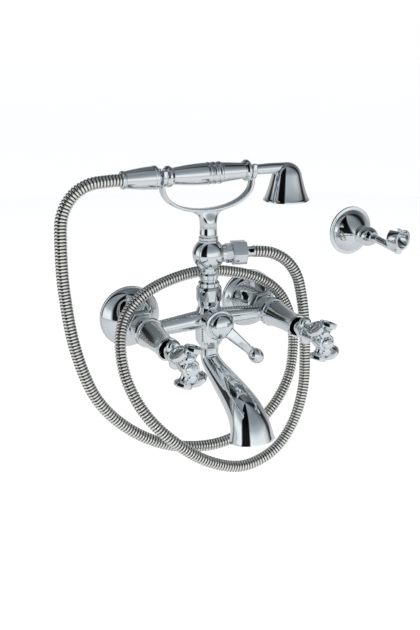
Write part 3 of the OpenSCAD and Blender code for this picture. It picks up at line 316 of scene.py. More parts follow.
core = turned("hot_cross_handle", [
    (4.1, handle_start), (7.2, handle_start), (7.6, handle_start + 0.4), (7.6, 122.9), (8, 123.4),
    (8.8, 123.6), (9, 124.2), (9, 133.8), (8.8, 134.4), (8.3, 134.6), (8.2, 136), (7.2, 150),
    (7.3, 151.5), (7.9, 152.6), (8.7, 153.6), (9, 155), (9, 167.6), (8.7, 169), (7.9, 169.8),
    (7.2, 170), (6.3, 170), (6.3, 167), (3.7, 167), (3.7, 148), (2.1, 148), (2.1, 142.1),
    (4.1, 142.1), (4.1, handle_start)], at_handle, segments=64)

bpy.ops.object.select_all(action="DESELECT")
bpy.ops.mesh.primitive_cylinder_add(vertices=8, radius=arm_end_r * mm, depth=arm_end_t * mm,
                                    rotation=(0, 0, radians(22.5)),
                                    location=(0, 0, (arm_neck + arm_end_t / 2) * mm))
arm = bpy.context.object
arm.name = "handle_arm"
bpy.ops.object.transform_apply(location=True, rotation=True, scale=True)
dish_floor = arm_reach - arm_dish
dish = turned("dish_cutter", [
    (0, dish_floor), (arm_end_r - 4.6, dish_floor), (arm_end_r - 2.9, dish_floor + 0.7),
    (arm_end_r - 2.5, arm_reach - 0.3), (arm_end_r - 2.2, arm_reach + 1), (0, arm_reach + 1)],
    Matrix.Identity(4), segments=40)
bpy.ops.object.select_all(action="DESELECT")
arm.select_set(True)
bpy.context.view_layer.objects.active = arm
cut = arm.modifiers.new("dish", "BOOLEAN")
cut.object = dish
cut.operation = "DIFFERENCE"
cut.solver = "EXACT"
bpy.ops.object.modifier_apply(modifier=cut.name)
bpy.data.objects.remove(dish)
crisp = arm.modifiers.new("rounding", "BEVEL")
crisp.width = 0.45 * mm
crisp.segments = 2
crisp.limit_method = "ANGLE"
crisp.angle_limit = radians(38)
bpy.ops.object.modifier_apply(modifier=crisp.name)
bpy.ops.object.shade_smooth_by_angle(angle=radians(30))
turned("handle_arm_flare", [
    (0, 2), (6.2, 2), (5.7, 5), (5.1, 8), (4.9, 10), (5.2, 12), (6, 13.6), (7.2, 14.8),
    (8.3, 15.5), (8.3, 16.5), (0, 16.5)], Matrix.Identity(4), segments=48)
arm.select_set(True)
bpy.context.view_layer.objects.active = arm
bpy.ops.object.join()

dome_outline = [(0, 0), (dome_r, 0)]
lobe_outline = [(0, -lobe_half)]
for i in range(1, 19):
    a = radians(90 * i / 18)
    dome_outline.append((dome_r * cos(a), dome_foot + (dome_top - dome_foot) * sin(a)))
for i in range(1, 32):
    a = radians(-90 + 180 * i / 32)
    lobe_outline.append((lobe_r * cos(a) ** 0.7, lobe_half * sin(a)))
dome_outline[-1] = (0, dome_top)
lobe_outline.append((0, lobe_half))
dome = turned("handle_dome", dome_outline, Matrix.Identity(4), segments=48)
lobe = turned("handle_lobe", lobe_outline, Matrix.Identity(4), segments=48, crease=60)

places = [(arm, at_cross @ Matrix.Rotation(radians(angle), 4, "Z") @ Matrix.Rotation(radians(90), 4, "Y"))
          for angle in (90 - handle_splay, 90 + handle_splay, 270 - handle_splay, 270 + handle_splay)]
lobe_back = (lobe_reach - handle_reach) * mm
for way in (-1, 1):
    places.append((dome, at_cross @ Matrix.Translation((0, way * dome_out * mm, 0))))
    places.append((lobe, at_cross @ Matrix.Translation((0, way * lobe_out * mm, lobe_back))))
hot_handle = core
for pattern, place in places:
    bpy.ops.object.select_all(action="DESELECT")
    pattern.select_set(True)
    bpy.context.view_layer.objects.active = pattern
    bpy.ops.object.duplicate()
    cast = bpy.context.object
    cast.matrix_world = place
    bpy.ops.object.transform_apply(location=True, rotation=True, scale=True)
    hot_handle.select_set(True)
    bpy.context.view_layer.objects.active = hot_handle
    bpy.ops.object.join()
for pattern in (arm, dome, lobe):
    bpy.data.objects.remove(pattern)
cold_handle = twin(hot_handle, "cold_cross_handle", (2 * inlet_x, 0, 0))
fit(hot_handle, chrome, "hot_knob", "hot_handle")
fit(cold_handle, chrome, "cold_knob", "cold_handle")

# Diverter
# A turned bonnet ring holds the diverter in the body; the lever's domed hub and its tapered
# arm with two flats are one brass casting, and the ball-shaped knob is screwed on its end.
column_y, diverter_z = -50 * mm, 1.5 * mm
boss_reach, bonnet_r, bonnet_t, spigot_r, spigot_len = 24, 16.8, 5, 10.4, 9
hub_r, hub_h, hub_gap, hub_root, stem_hole_r, stem_hole = 14.2, 11, 0.3, 6, 4.1, 7
lever_len, lever_angle, lever_lean, lever_rise = 50.5, 45, 11, 4.5
lever_r, lever_flat, knob_r, knob_len = 4.8, 8, 8.2, 19.5
hub_back = boss_reach + bonnet_t + hub_gap
lever_stop = lever_len - 9.5
at_diverter = to_front(0, diverter_z, -column_y)
at_lever = (at_diverter @ Matrix.Translation((0, 0, (hub_back + lever_rise) * mm))
            @ Matrix.Rotation(radians(-lever_angle), 4, "Z")
            @ Matrix.Rotation(radians(90 - lever_lean), 4, "Y"))

bonnet_top = boss_reach + bonnet_t
spigot_back = boss_reach - spigot_len
bonnet = turned("diverter_bonnet_ring", [
    (stem_hole_r, spigot_back), (spigot_r, spigot_back), (spigot_r, boss_reach),
    (bonnet_r - 0.8, boss_reach), (bonnet_r - 0.2, boss_reach + 0.3), (bonnet_r, boss_reach + 1),
    (bonnet_r, bonnet_top - 1.8), (bonnet_r - 0.3, bonnet_top - 0.8), (bonnet_r - 1.4, bonnet_top - 0.1),
    (bonnet_r - 2.4, bonnet_top), (stem_hole_r, bonnet_top), (stem_hole_r, spigot_back)], at_diverter)
fit(bonnet, chrome, "mixer", "diverter_bonnet")

hub_outline = [(0, hub_back + stem_hole), (stem_hole_r, hub_back + stem_hole), (stem_hole_r, hub_back),
               (hub_r - 0.7, hub_back), (hub_r - 0.1, hub_back + 0.4)]
for i in range(25):
    a = radians(90 * i / 24)
    hub_outline.append((hub_r * cos(a), hub_back + 1.5 + (hub_h - 1.5) * sin(a)))
hub_outline[-1] = (0, hub_back + hub_h)
lever = turned("diverter_lever_hub", hub_outline, at_diverter)

arm_root = hub_r - hub_root
lever_outline = [(0, arm_root)]
for i in range(13):
    u = i / 12
    lever_outline.append((lever_r + 1.8 * (1 - u), arm_root + (lever_stop - arm_root) * u))
lever_outline.append((0, lever_stop))
lever_arm = turned("diverter_lever_arm", lever_outline, Matrix.Identity(4), segments=64)
bpy.ops.object.mode_set(mode="EDIT")
for way in (-1, 1):
    bpy.ops.mesh.select_all(action="SELECT")
    bpy.ops.mesh.bisect(plane_co=(way * lever_flat / 2 * mm, 0, 0), plane_no=(way, 0, 0), use_fill=True,
                        clear_outer=True)
bpy.ops.mesh.select_all(action="SELECT")
bpy.ops.mesh.normals_make_consistent(inside=False)
bpy.ops.object.mode_set(mode="OBJECT")
flat_edge = lever_arm.modifiers.new("rounding", "BEVEL")
flat_edge.width = 0.6 * mm
flat_edge.segments = 3
flat_edge.limit_method = "ANGLE"
flat_edge.angle_limit = radians(18)
bpy.ops.object.modifier_apply(modifier=flat_edge.name)
bpy.ops.object.shade_smooth_by_angle(angle=radians(24))
lever_arm.matrix_world = at_lever
bpy.ops.object.transform_apply(location=True, rotation=True, scale=True)
lever.select_set(True)
bpy.context.view_layer.objects.active = lever
bpy.ops.object.join()
fit(lever, chrome, "diverter", "diverter_lever")

knob_outline = [(0, lever_stop), (lever_r + 0.1, lever_stop), (lever_r + 0.55, lever_stop + 0.3),
                (lever_r + 0.6, lever_stop + 1.3), (lever_r + 0.3, lever_stop + 1.7)]
for i in range(31):
    a = radians(-58 + 148 * i / 30)
    knob_outline.append((knob_r * cos(a), lever_stop + 10 + (9.5 if a > 0 else 9.3) * sin(a)))
knob_outline[-1] = (0, lever_stop + knob_len)
knob = turned("diverter_lever_knob", knob_outline, at_lever, segments=56)
fit(knob, chrome, "diverter", "lever_knob")

# Spout
# A swept spout of bent brass tube whose end is flared into a wide bell, chrome plated. It is
# drawn ring by ring from the root under the body to the mouth, then given its wall.
core_drop, spout_run = 31, 9
spout_reach, spout_drop, mouth_tilt = 101, 100, 12
spout_root_r, spout_mouth_r, spout_wall, spout_lip = 10.2, 23.8, 2, 1.7
bend_y, bend_z = spout_reach * 0.3, -core_drop - 26
spout_first = [(0, -core_drop - spout_run), (0, -core_drop - spout_run - 8),
               (-bend_y * 0.4, bend_z + 4.5), (-bend_y, bend_z)]
spout_second = [(-bend_y, bend_z), (-spout_reach * 0.66, bend_z - 10.5),
                (-spout_reach + 3, -spout_drop + 28), (-spout_reach, -spout_drop)]


def curve_point(poles, t):
    """Point of a curve with four poles, at share t of it."""
    s = 1 - t
    weights = (s ** 3, 3 * s * s * t, 3 * s * t * t, t ** 3)
    return Vector((0, sum(w * p[0] for w, p in zip(weights, poles)),
                   sum(w * p[1] for w, p in zip(weights, poles))))


spout_line = [Vector((0, 0, -core_drop))] + [curve_point(spout_first, i / 20) for i in range(21)]
spout_line += [curve_point(spout_second, i / 30) for i in range(1, 31)]
spout_sums = [0.0]
for here, there in zip(spout_line, spout_line[1:]):
    spout_sums.append(spout_sums[-1] + (there - here).length)


def spout_radius(i):
    """Radius of the spout at ring i, which grows along it and once more at the lip."""
    share = max(0, spout_sums[i] - spout_run) / (spout_sums[-1] - spout_run)
    return (spout_root_r + (spout_mouth_r - spout_lip - spout_root_r) * share ** 1.1
            + spout_lip * share ** 14)


bpy.ops.object.select_all(action="DESELECT")
bpy.ops.mesh.primitive_circle_add(vertices=72, radius=spout_root_r * mm,
                                  location=(0, column_y, -core_drop * mm))
spout = bpy.context.object
spout.name = "flared_spout"
bpy.ops.object.transform_apply(location=True, rotation=True, scale=True)
bpy.ops.object.mode_set(mode="EDIT")
bpy.ops.mesh.select_mode(type="EDGE")
bpy.ops.mesh.select_all(action="SELECT")
lean = 0.0
last = len(spout_line) - 1
for i in range(1, last + 1):
    step = (spout_line[i] - spout_line[i - 1]) * mm
    ahead = spout_line[min(i + 1, last)] - spout_line[i - 1]
    next_lean = 0.0 if i < 2 else Vector((-ahead.z, -ahead.y)).angle_signed(Vector((1, 0)))
    ease = max(0, 1 - (last - i) / 5)
    next_lean += ease * (radians(mouth_tilt) - next_lean)
    centre = spout_line[i] * mm + Vector((0, column_y, 0))
    grow = spout_radius(i) / spout_radius(i - 1)
    bpy.ops.mesh.extrude_edges_move(TRANSFORM_OT_translate={"value": step})
    bpy.ops.transform.rotate(value=next_lean - lean, orient_axis="X", center_override=centre)
    bpy.ops.transform.resize(value=(grow, grow, grow), center_override=centre)
    lean = next_lean
bpy.ops.mesh.select_all(action="SELECT")
bpy.ops.mesh.normals_make_consistent(inside=False)
bpy.ops.object.mode_set(mode="OBJECT")
wall = spout.modifiers.new("wall", "SOLIDIFY")
wall.thickness = spout_wall * mm
wall.offset = -1
bpy.ops.object.modifier_apply(modifier=wall.name)
lip = spout.modifiers.new("lip", "BEVEL")
lip.width = 0.7 * mm
lip.segments = 3
lip.limit_method = "ANGLE"
lip.angle_limit = radians(50)
bpy.ops.object.modifier_apply(modifier=lip.name)
bpy.ops.object.shade_smooth_by_angle(angle=radians(40))
fit(spout, chrome, "mixer", "spout")

# Cradle
# A bowed ribbon of cast brass on a short stem, chrome plated; broad fillets run from the stem
# into the ribbon, and its ends carry two open forks for the neck and arm of the handset.
handset_z = 160 * mm
cradle_half, cradle_depth, ribbon_w, ribbon_t = 53.4, 40, 11, 3.6
fork_r, fork_t, fork_gap, neck_r, head_arm_r = 10.5, 5, 0.4, 6.4, 5.3
cradle_rise, collar_top, stem_r, fork_rise = 8, 96.5, 9.6, 7.4
bowl_z = handset_z - cradle_rise * mm


def bowl(share):
    """Middle of the ribbon from the left fork to the right fork, seen from the front, in millimetres."""
    angle = radians(-90 + 180 * share)
    half, depth = cradle_half - ribbon_t / 2, cradle_depth - cradle_rise - ribbon_t / 2
    return Vector((half * sin(angle), 0, -depth * max(0, cos(angle)) ** 0.8))


bowl_steps = 64
bpy.ops.object.select_all(action="DESELECT")
bpy.ops.mesh.primitive_plane_add(size=1)
cradle = bpy.context.object
cradle.name = "bowed_cradle"
cradle.scale = (ribbon_t * mm, ribbon_w * mm, 1)
cradle.location = bowl(0) * mm + Vector((0, column_y, bowl_z))
bpy.ops.object.transform_apply(location=True, rotation=True, scale=True)
bpy.ops.object.mode_set(mode="EDIT")
bpy.ops.mesh.select_mode(type="FACE")
bpy.ops.mesh.select_all(action="SELECT")
turned_by = 0.0
for i in range(1, bowl_steps + 1):
    here, there = bowl((i - 1) / bowl_steps), bowl(i / bowl_steps)
    ahead = bowl(min(1, (i + 1) / bowl_steps)) - here
    heading = Vector((-ahead.z, ahead.x)).angle_signed(Vector((1, 0)))
    if i == bowl_steps:
        heading = -pi if turned_by < 0 else pi
    centre = there * mm + Vector((0, column_y, bowl_z))
    bpy.ops.mesh.extrude_region_move(TRANSFORM_OT_translate={"value": (there - here) * mm})
    bpy.ops.transform.rotate(value=heading - turned_by, orient_axis="Y", center_override=centre)
    turned_by = heading
bpy.ops.mesh.select_all(action="SELECT")
bpy.ops.mesh.normals_make_consistent(inside=False)
bpy.ops.object.mode_set(mode="OBJECT")
round_edge = cradle.modifiers.new("rounding", "BEVEL")
round_edge.width = 1.3 * mm
round_edge.segments = 4
round_edge.limit_method = "ANGLE"
round_edge.angle_limit = radians(50)
bpy.ops.object.modifier_apply(modifier=round_edge.name)
bpy.ops.object.shade_smooth_by_angle(angle=radians(40))


def fork(name, x, slot_r):
    """An open fork: half a ring under the handset, with both ends drawn straight up."""
    bpy.ops.object.select_all(action="DESELECT")
    bpy.ops.mesh.primitive_plane_add(size=1)
    piece = bpy.context.object
    piece.name = name
    piece.scale = (fork_t * mm, (fork_r - slot_r) * mm, 1)
    piece.location = (x * mm, column_y + (slot_r + fork_r) / 2 * mm, handset_z)
    bpy.ops.object.transform_apply(location=True, rotation=True, scale=True)
    bpy.ops.object.mode_set(mode="EDIT")
    bpy.ops.mesh.select_mode(type="FACE")
    bpy.ops.mesh.select_all(action="SELECT")
    bpy.ops.mesh.spin(steps=28, angle=pi, center=(x * mm, column_y, handset_z), axis=(1, 0, 0))
    bpy.ops.mesh.select_all(action="DESELECT")
    bpy.ops.object.mode_set(mode="OBJECT")
    for face in piece.data.polygons:
        face.select = abs(face.normal.z) > 0.99 and abs(face.center.z - handset_z) < 0.01 * mm
    bpy.ops.object.mode_set(mode="EDIT")
    bpy.ops.mesh.extrude_region_move(TRANSFORM_OT_translate={"value": (0, 0, fork_rise * mm)})
    bpy.ops.mesh.select_all(action="SELECT")
    bpy.ops.mesh.remove_doubles(threshold=0.002 * mm)
    bpy.ops.mesh.normals_make_consistent(inside=False)
    bpy.ops.object.mode_set(mode="OBJECT")
    soft = piece.modifiers.new("rounding", "BEVEL")
    soft.width = 1.2 * mm
    soft.segments = 3
    soft.limit_method = "ANGLE"
    soft.angle_limit = radians(50)
    bpy.ops.object.modifier_apply(modifier=soft.name)
    bpy.ops.object.shade_smooth_by_angle(angle=radians(40))
    return piece


left_fork = fork("left_fork", -(cradle_half - fork_t / 2), neck_r + fork_gap)
right_fork = fork("right_fork", cradle_half - fork_t / 2, head_arm_r + fork_gap)

stem_rings = 26
stem_end = bowl_z / mm - 30
stem_step = (stem_end - collar_top) / stem_rings * mm
bpy.ops.object.select_all(action="DESELECT")
bpy.ops.mesh.primitive_circle_add(vertices=64, radius=stem_r * mm, fill_type="NGON",
                                  location=(0, column_y, collar_top * mm))
stem = bpy.context.object
stem.name = "cradle_stem"
bpy.ops.object.transform_apply(location=True, rotation=True, scale=True)
bpy.ops.object.mode_set(mode="EDIT")
bpy.ops.mesh.select_mode(type="FACE")
bpy.ops.mesh.select_all(action="SELECT")
wide, deep = stem_r, stem_r
for i in range(1, stem_rings + 1):
    u = i / stem_rings
    sweep = max(0, (u - 0.45) / 0.55)
    next_wide = stem_r - 0.5 * sin(pi * min(1, 1.6 * u)) + 11.5 * sweep ** 3.2
    next_deep = stem_r - 0.5 * sin(pi * min(1, 1.6 * u)) - 4.4 * sweep ** 2 * (3 - 2 * sweep)
    centre = Vector((0, column_y, (collar_top + (stem_end - collar_top) * u) * mm))
    bpy.ops.mesh.extrude_region_move(TRANSFORM_OT_translate={"value": (0, 0, stem_step)})
    bpy.ops.transform.resize(value=(next_wide / wide, next_deep / deep, 1), center_override=centre)
    wide, deep = next_wide, next_deep
bpy.ops.mesh.select_all(action="SELECT")
bpy.ops.mesh.normals_make_consistent(inside=False)
bpy.ops.object.mode_set(mode="OBJECT")
bpy.ops.object.shade_smooth_by_angle(angle=radians(40))
for piece in (left_fork, right_fork, stem, cradle):
    piece.select_set(True)
bpy.context.view_layer.objects.active = cradle
bpy.ops.object.join()
fit(cradle, chrome, "mixer", "cradle")

# Handset grip and cone nut
# The grip is turned brass with three ribs near its middle, and the hose's cone nut is turned
# brass as well; both are chrome plated and screw on the neck that lies in the left fork.
grip_start, grip_stop, grip_r, grip_end_r, handset_bore = -40.5, 42, 11.2, 8.4, 3.6
cone_back, cone_front, cone_nut_r, cone_tip_r, hose_hole_r = -95, -57, 12.1, 8.6, 6.5
rib_places, rib_half, rib_rise = (0, 6.2, 12.4), 1.7, 1.1
at_handset = Matrix.Translation((0, column_y, handset_z)) @ Matrix.Rotation(radians(90), 4, "Y")
grip_outline = [(handset_bore, grip_start)]
grip_steps = 220
for i in range(grip_steps + 1):
    u = i / grip_steps
    x = grip_start + (grip_stop - grip_start) * u
    radius = grip_end_r
    if 0 < i < grip_steps:
        radius += (grip_r - grip_end_r) * sin(pi * u ** 0.86) ** 1.2
    for rib in rib_places:
        near = abs(x - rib) / rib_half
        if near < 1:
            radius = max(radius, grip_r - 0.6 + rib_rise * (1 - near * near) ** 0.5)
        elif near < 1.7:
            radius -= 0.5 * max(0, 1 - ((near - 1.3) / 0.4) ** 2)
    grip_outline.append((radius, x))
grip_outline += [(handset_bore, grip_stop), (handset_bore, grip_start)]
grip = turned("handset_grip_turned", grip_outline, at_handset, crease=50)
fit(grip, chrome, "handset", "handset_grip")

cone_outline = [
    (hose_hole_r, cone_back), (cone_tip_r - 0.3, cone_back), (cone_tip_r + 0.4, cone_back + 0.4),
    (cone_tip_r + 0.6, cone_back + 1.2), (cone_tip_r + 0.6, cone_back + 3),
    (cone_tip_r + 0.3, cone_back + 3.7), (cone_tip_r - 0.2, cone_back + 4.1)]
for i in range(25):
    u = i / 24
    cone_outline.append((cone_tip_r + (cone_nut_r - 0.5 - cone_tip_r) * (1 - (1 - u) ** 1.5),
                         cone_back + 4.3 + (cone_front - cone_back - 8.7) * u))
cone_outline += [
    (cone_nut_r - 0.9, cone_front - 4.1), (cone_nut_r - 0.1, cone_front - 3.5),
    (cone_nut_r, cone_front - 2.6), (cone_nut_r - 0.1, cone_front - 0.9),
    (cone_nut_r - 0.8, cone_front), (neck_r + 0.2, cone_front), (neck_r + 0.2, cone_back + 20),
    (hose_hole_r, cone_back + 20), (hose_hole_r, cone_back)]
cone = turned("handset_cone_nut", cone_outline, at_handset)
fit(cone, chrome, "handset", "cone_nut")

# Handset head
# A cast brass arm that swells towards a bell, chrome plated. The bell has a round crown and a
# gentle flare down to a thin rim, and the perforated spray face is held in it by one screw.
bell_x, bell_top_r, bell_rim_r, bell_drop, bell_wall = 95, 16.4, 25.4, 36, 2
bell_lip, bell_lip_h, neck_end, head_pin_r, head_pin_len = 1, 2.5, 48, 5.4, 8
bell_shoulder = head_arm_r - bell_top_r
crown_end = 15


def bell_side(inset):
    """Side of the bell from the crown to the rim."""
    side = []
    for i in range(19):
        a = radians(90 - (90 - crown_end) * i / 18)
        side.append(((bell_top_r - inset) * cos(a), bell_shoulder + (bell_top_r - inset) * sin(a)))
    start_r, start_h = side[-1]
    flare = bell_rim_r - bell_lip - inset - start_r
    for i in range(1, 25):
        u = i / 24
        side.append((start_r + flare * (0.82 * u + 0.18 * u ** 4),
                     start_h + (bell_lip_h - bell_drop - start_h) * u))
    side[0] = (0, side[0][1])
    return side


bell_rim = [
    (bell_rim_r - 0.3, bell_lip_h - 0.55 - bell_drop), (bell_rim_r, bell_lip_h - 1.1 - bell_drop),
    (bell_rim_r, -bell_drop + 0.3), (bell_rim_r - 0.3, -bell_drop),
    (bell_rim_r - bell_wall - bell_lip, -bell_drop)]
bell = turned("handset_bell", bell_side(0) + bell_rim + bell_side(bell_wall)[::-1],
              Matrix.Translation((bell_x * mm, column_y, handset_z)), segments=112)
pin_end = neck_end - 6 - head_pin_len
arm_outline = [(0, pin_end), (head_pin_r, pin_end), (head_pin_r, neck_end), (head_arm_r, neck_end)]
for i in range(25):
    u = i / 24
    arm_outline.append((head_arm_r + 0.75 * sin(pi * u) ** 2 * u,
                        neck_end + 0.5 + (bell_x - 4 - neck_end) * u))
arm_outline.append((0, bell_x - 3.5))
turned("handset_head_arm", arm_outline, at_handset, segments=48)
bell.select_set(True)
bpy.context.view_layer.objects.active = bell
bpy.ops.object.join()
fit(bell, chrome, "handset", "handset_head")

# Hose nut
# A hexagon nut of brass, chrome plated, turns freely on the ferrule of the hose and screws on
# the outlet of the ball.
ball_z, outlet_turn = 74 * mm, 14
outlet_neck, outlet_neck_t, hose_nut_across, hose_nut_len, ferrule_r = 18.5, 6, 24, 16, 6.2
at_outlet = (Matrix.Translation((0, column_y, ball_z)) @ Matrix.Rotation(radians(-outlet_turn), 4, "Z")
             @ Matrix.Rotation(radians(90), 4, "Y"))
hose_nut_back = (outlet_neck + outlet_neck_t + 0.5) * mm
hose_nut = hexagon_nut("hose_hexagon", hose_nut_across, hose_nut_len, ferrule_r + 0.2,
                       at_outlet @ Matrix.Translation((0, 0, hose_nut_back)), rounding=0.6)
fit(hose_nut, chrome, "mixer", "hose_nut")

# Hose
# A double-lock hose: a profiled stainless strip wound round a rubber liner, so that its turns
# show as ribs. A smooth plated sleeve crimps it at the ball, and the cone nut holds its far end.
hose_route = [
    (40, -60, 74), (52, -63, 74), (69, -67, 71), (85, -71, 61), (96, -74, 45), (101, -77, 24),
    (103, -82, -6), (102, -88, -46), (97, -94, -86), (82, -98, -124), (54, -103, -150),
    (13, -106, -158), (-29, -105, -142), (-65, -100, -113), (-92, -87, -80), (-106, -71, -43),
    (-106, -57, -8), (-95, -46, 17), (-74, -39, 34), (-42, -31, 44), (0, -27, 49), (40, -30, 44),
    (72, -37, 33), (94, -43, 14), (105, -49, -14), (106, -56, -46), (93, -66, -85),
    (58, -75, -120), (4, -79, -138), (-52, -78, -131), (-100, -74, -105), (-136, -67, -64),
    (-154, -59, -8), (-160, -52, 56), (-159, -50, 111), (-155, -50, 133), (-144, -50, 149),
    (-128, -50, 158), (-109, -50, 160), (-95, -50, 160),
]
hose_r = 6.4 * mm
hose_turns = 430
hose_sides = 16
# Radius of the sleeve along its length, in millimetres
sleeve_section = [(0, 5.4), (0.5, 5.7), (7.2, 5.7), (7.8, 6.3), (9.2, 6.35), (9.8, 6.1)]
# Share of the hose radius along one turn of the strip, and how much painted shade darkens that point in the
# groove
strip_section = [(0, 0.8, 1), (0.17, 0.8, 1), (0.26, 0.95, 0.3), (0.42, 1, 0), (0.78, 1, 0),
                 (0.92, 0.95, 0.35)]


def smooth_route(points, steps):
    """Points of the smooth curve that the hose follows, as in the part's source."""
    points = [Vector(p) * mm for p in points]
    end = len(points) - 1
    curve = []
    for i in range(end):
        a, b, c, d = points[max(0, i - 1)], points[i], points[i + 1], points[min(end, i + 2)]
        for k in range(steps):
            t = k / steps
            curve.append(b + 0.5 * t * ((c - a) + t * ((2 * a - 5 * b + 4 * c - d)
                                                       + t * (3 * (b - c) + d - a))))
    curve.append(points[end])
    return curve


hose_curve = smooth_route(hose_route, 24)
hose_sums = [0.0]
for here, there in zip(hose_curve, hose_curve[1:]):
    hose_sums.append(hose_sums[-1] + (there - here).length)
hose_length = hose_sums[-1]

rings = [(at * mm, radius * mm, 0) for at, radius in sleeve_section]
strip_start = 10 * mm
pitch = (hose_length - strip_start) / hose_turns
for turn in range(hose_turns):
    # Each ring also carries how much painted shade it gets in the groove between turns
    rings += [(strip_start + (turn + share) * pitch, hose_r * swell, shade_depth)
              for share, swell, shade_depth in strip_section]
rings.append((hose_length, hose_r * strip_section[0][1], 1))

hose_points = []
hose_shade_depth = []
hose_faces = []
side_way = Vector((0, 0, 1))
span = 0
for reach, radius, shade_depth in rings:
    while span < len(hose_sums) - 2 and hose_sums[span + 1] < reach:
        span += 1
    part = (reach - hose_sums[span]) / (hose_sums[span + 1] - hose_sums[span])
    middle = hose_curve[span].lerp(hose_curve[span + 1], part)
    along = (hose_curve[min(span + 2, len(hose_curve) - 1)] - hose_curve[max(span - 1, 0)]).normalized()
    side_way = (side_way - along * side_way.dot(along)).normalized()
    up_way = along.cross(side_way)
    for k in range(hose_sides):
        angle = 2 * pi * k / hose_sides
        hose_points.append(middle + radius * (cos(angle) * side_way + sin(angle) * up_way))
        hose_shade_depth.append(shade_depth)
for i in range(len(rings) - 1):
    for k in range(hose_sides):
        m = (k + 1) % hose_sides
        hose_faces.append((i * hose_sides + k, i * hose_sides + m,
                           (i + 1) * hose_sides + m, (i + 1) * hose_sides + k))
hose_faces.append(tuple(range(hose_sides - 1, -1, -1)))
hose_faces.append(tuple((len(rings) - 1) * hose_sides + k for k in range(hose_sides)))

hose_mesh = bpy.data.meshes.new("shower_hose")
hose_mesh.from_pydata(hose_points, [], hose_faces)
hose_mesh.update()
hose_mesh.shade_smooth()
hose_mesh.attributes.new("groove", "FLOAT", "POINT").data.foreach_set("value", hose_shade_depth)
shower_hose = bpy.data.objects.new("shower_hose", hose_mesh)
bpy.context.collection.objects.link(shower_hose)

hose_steel = finish_of("hose_strip", (0.94, 0.935, 0.90), (0.84, 0.835, 0.79), 1, 0.06, 0.12, 90)
steel_nodes, steel_links = hose_steel.node_tree.nodes, hose_steel.node_tree.links
# Painted shade: the grooves between the strip's turns are mixed towards near-black by the value stored on
# each ring
groove = steel_nodes.new("ShaderNodeAttribute")
groove.attribute_name = "groove"
shaded_groove = steel_nodes.new("ShaderNodeMix")
shaded_groove.data_type = "RGBA"
shaded_groove.inputs["B"].default_value = (0.02, 0.02, 0.019, 1)
steel_links.new(groove.outputs["Fac"], shaded_groove.inputs["Factor"])
steel_links.new(steel_nodes["tint"].outputs["Result"], shaded_groove.inputs["A"])
steel_links.new(shaded_groove.outputs["Result"], steel_nodes["Principled BSDF"].inputs["Base Color"])
hose_mesh.materials.append(hose_steel)
hose_mesh.materials.append(chrome)
for face in hose_mesh.polygons[:(len(sleeve_section) - 1) * hose_sides]:
    face.material_index = 1
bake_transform(shower_hose)
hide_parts("hose")

# Wall bracket
# The bracket's bell-shaped cover and its stepped swivel nut are turned brass, chrome plated;
# the nut holds the ball of the cast arm, whose open clip takes the handset's cone nut.
bracket_x, bracket_z = 219 * mm, 67 * mm
bracket_r, bracket_flat, bracket_depth, bracket_bore = 30, 4, 24, 6.3
swivel_start, swivel_len, swivel_r, swivel_bore = 24.5, 24, 11, 6.1
bracket_cover = turned("bracket_cover",
                       bell_cover(bracket_r, bracket_flat, bracket_depth, flange_lip, flange_wall,
                                  bracket_bore),
                       to_front(bracket_x, bracket_z), segments=128)
fit(bracket_cover, chrome, "mixer", "bracket_flange")
swivel_outline = [
    (swivel_bore, 0), (swivel_r - 0.7, 0), (swivel_r - 0.1, 0.4), (swivel_r, 1), (swivel_r, 6.6),
    (swivel_r - 0.3, 7.4), (swivel_r - 1, 7.9), (swivel_r - 1, 9), (swivel_r - 0.4, 9.5),
    (swivel_r + 0.3, 10.1), (swivel_r + 0.6, 11), (swivel_r + 0.6, 14.4), (swivel_r + 0.3, 15.6)]
for i in range(1, 15):
    u = i / 14
    swivel_outline.append((swivel_r + 0.3 - 4.3 * u ** 1.5, 15.6 + (swivel_len - 15.6) * u))
swivel_outline += [(4.8, swivel_len), (4.8, swivel_len - 6), (swivel_bore, swivel_len - 8),
                   (swivel_bore, 0)]
swivel = turned("bracket_swivel_nut", swivel_outline, to_front(bracket_x, bracket_z, swivel_start * mm))
fit(swivel, chrome, "mixer", "swivel_nut")


def softened(node, name, width):
    """A copy of a cast or milled solid with its edges rounded, as tumbling and polishing leave them."""
    bpy.ops.object.select_all(action="DESELECT")
    copy = frame["nodes"][node].copy()
    copy.data = frame["nodes"][node].data.copy()
    copy.parent = None
    copy.name = name
    copy.data.materials.clear()
    bpy.context.collection.objects.link(copy)
    copy.matrix_world = Matrix.Identity(4)
    copy.hide_render = copy.hide_viewport = False
    for key in list(copy.keys()):
        del copy[key]
    copy.select_set(True)
    bpy.context.view_layer.objects.active = copy
    bpy.ops.object.mode_set(mode="EDIT")
    bpy.ops.mesh.select_mode(type="VERT")
    bpy.ops.mesh.select_all(action="SELECT")
    bpy.ops.mesh.remove_doubles(threshold=0.003 * mm)
    bpy.ops.mesh.dissolve_limited(angle_limit=radians(2))
    bpy.ops.object.mode_set(mode="OBJECT")
    soft = copy.modifiers.new("rounding", "BEVEL")
    soft.width = width
    soft.segments = 3
    soft.limit_method = "ANGLE"
    soft.angle_limit = radians(28)
    soft.use_clamp_overlap = True
    bpy.ops.object.modifier_apply(modifier=soft.name)
    bpy.ops.object.shade_smooth_by_angle(angle=radians(40))
    return copy


clip_arm = softened("bracket_arm", "bracket_clip_arm", 0.6 * mm)
fit(clip_arm, chrome, "bracket_holder", "bracket_arm")

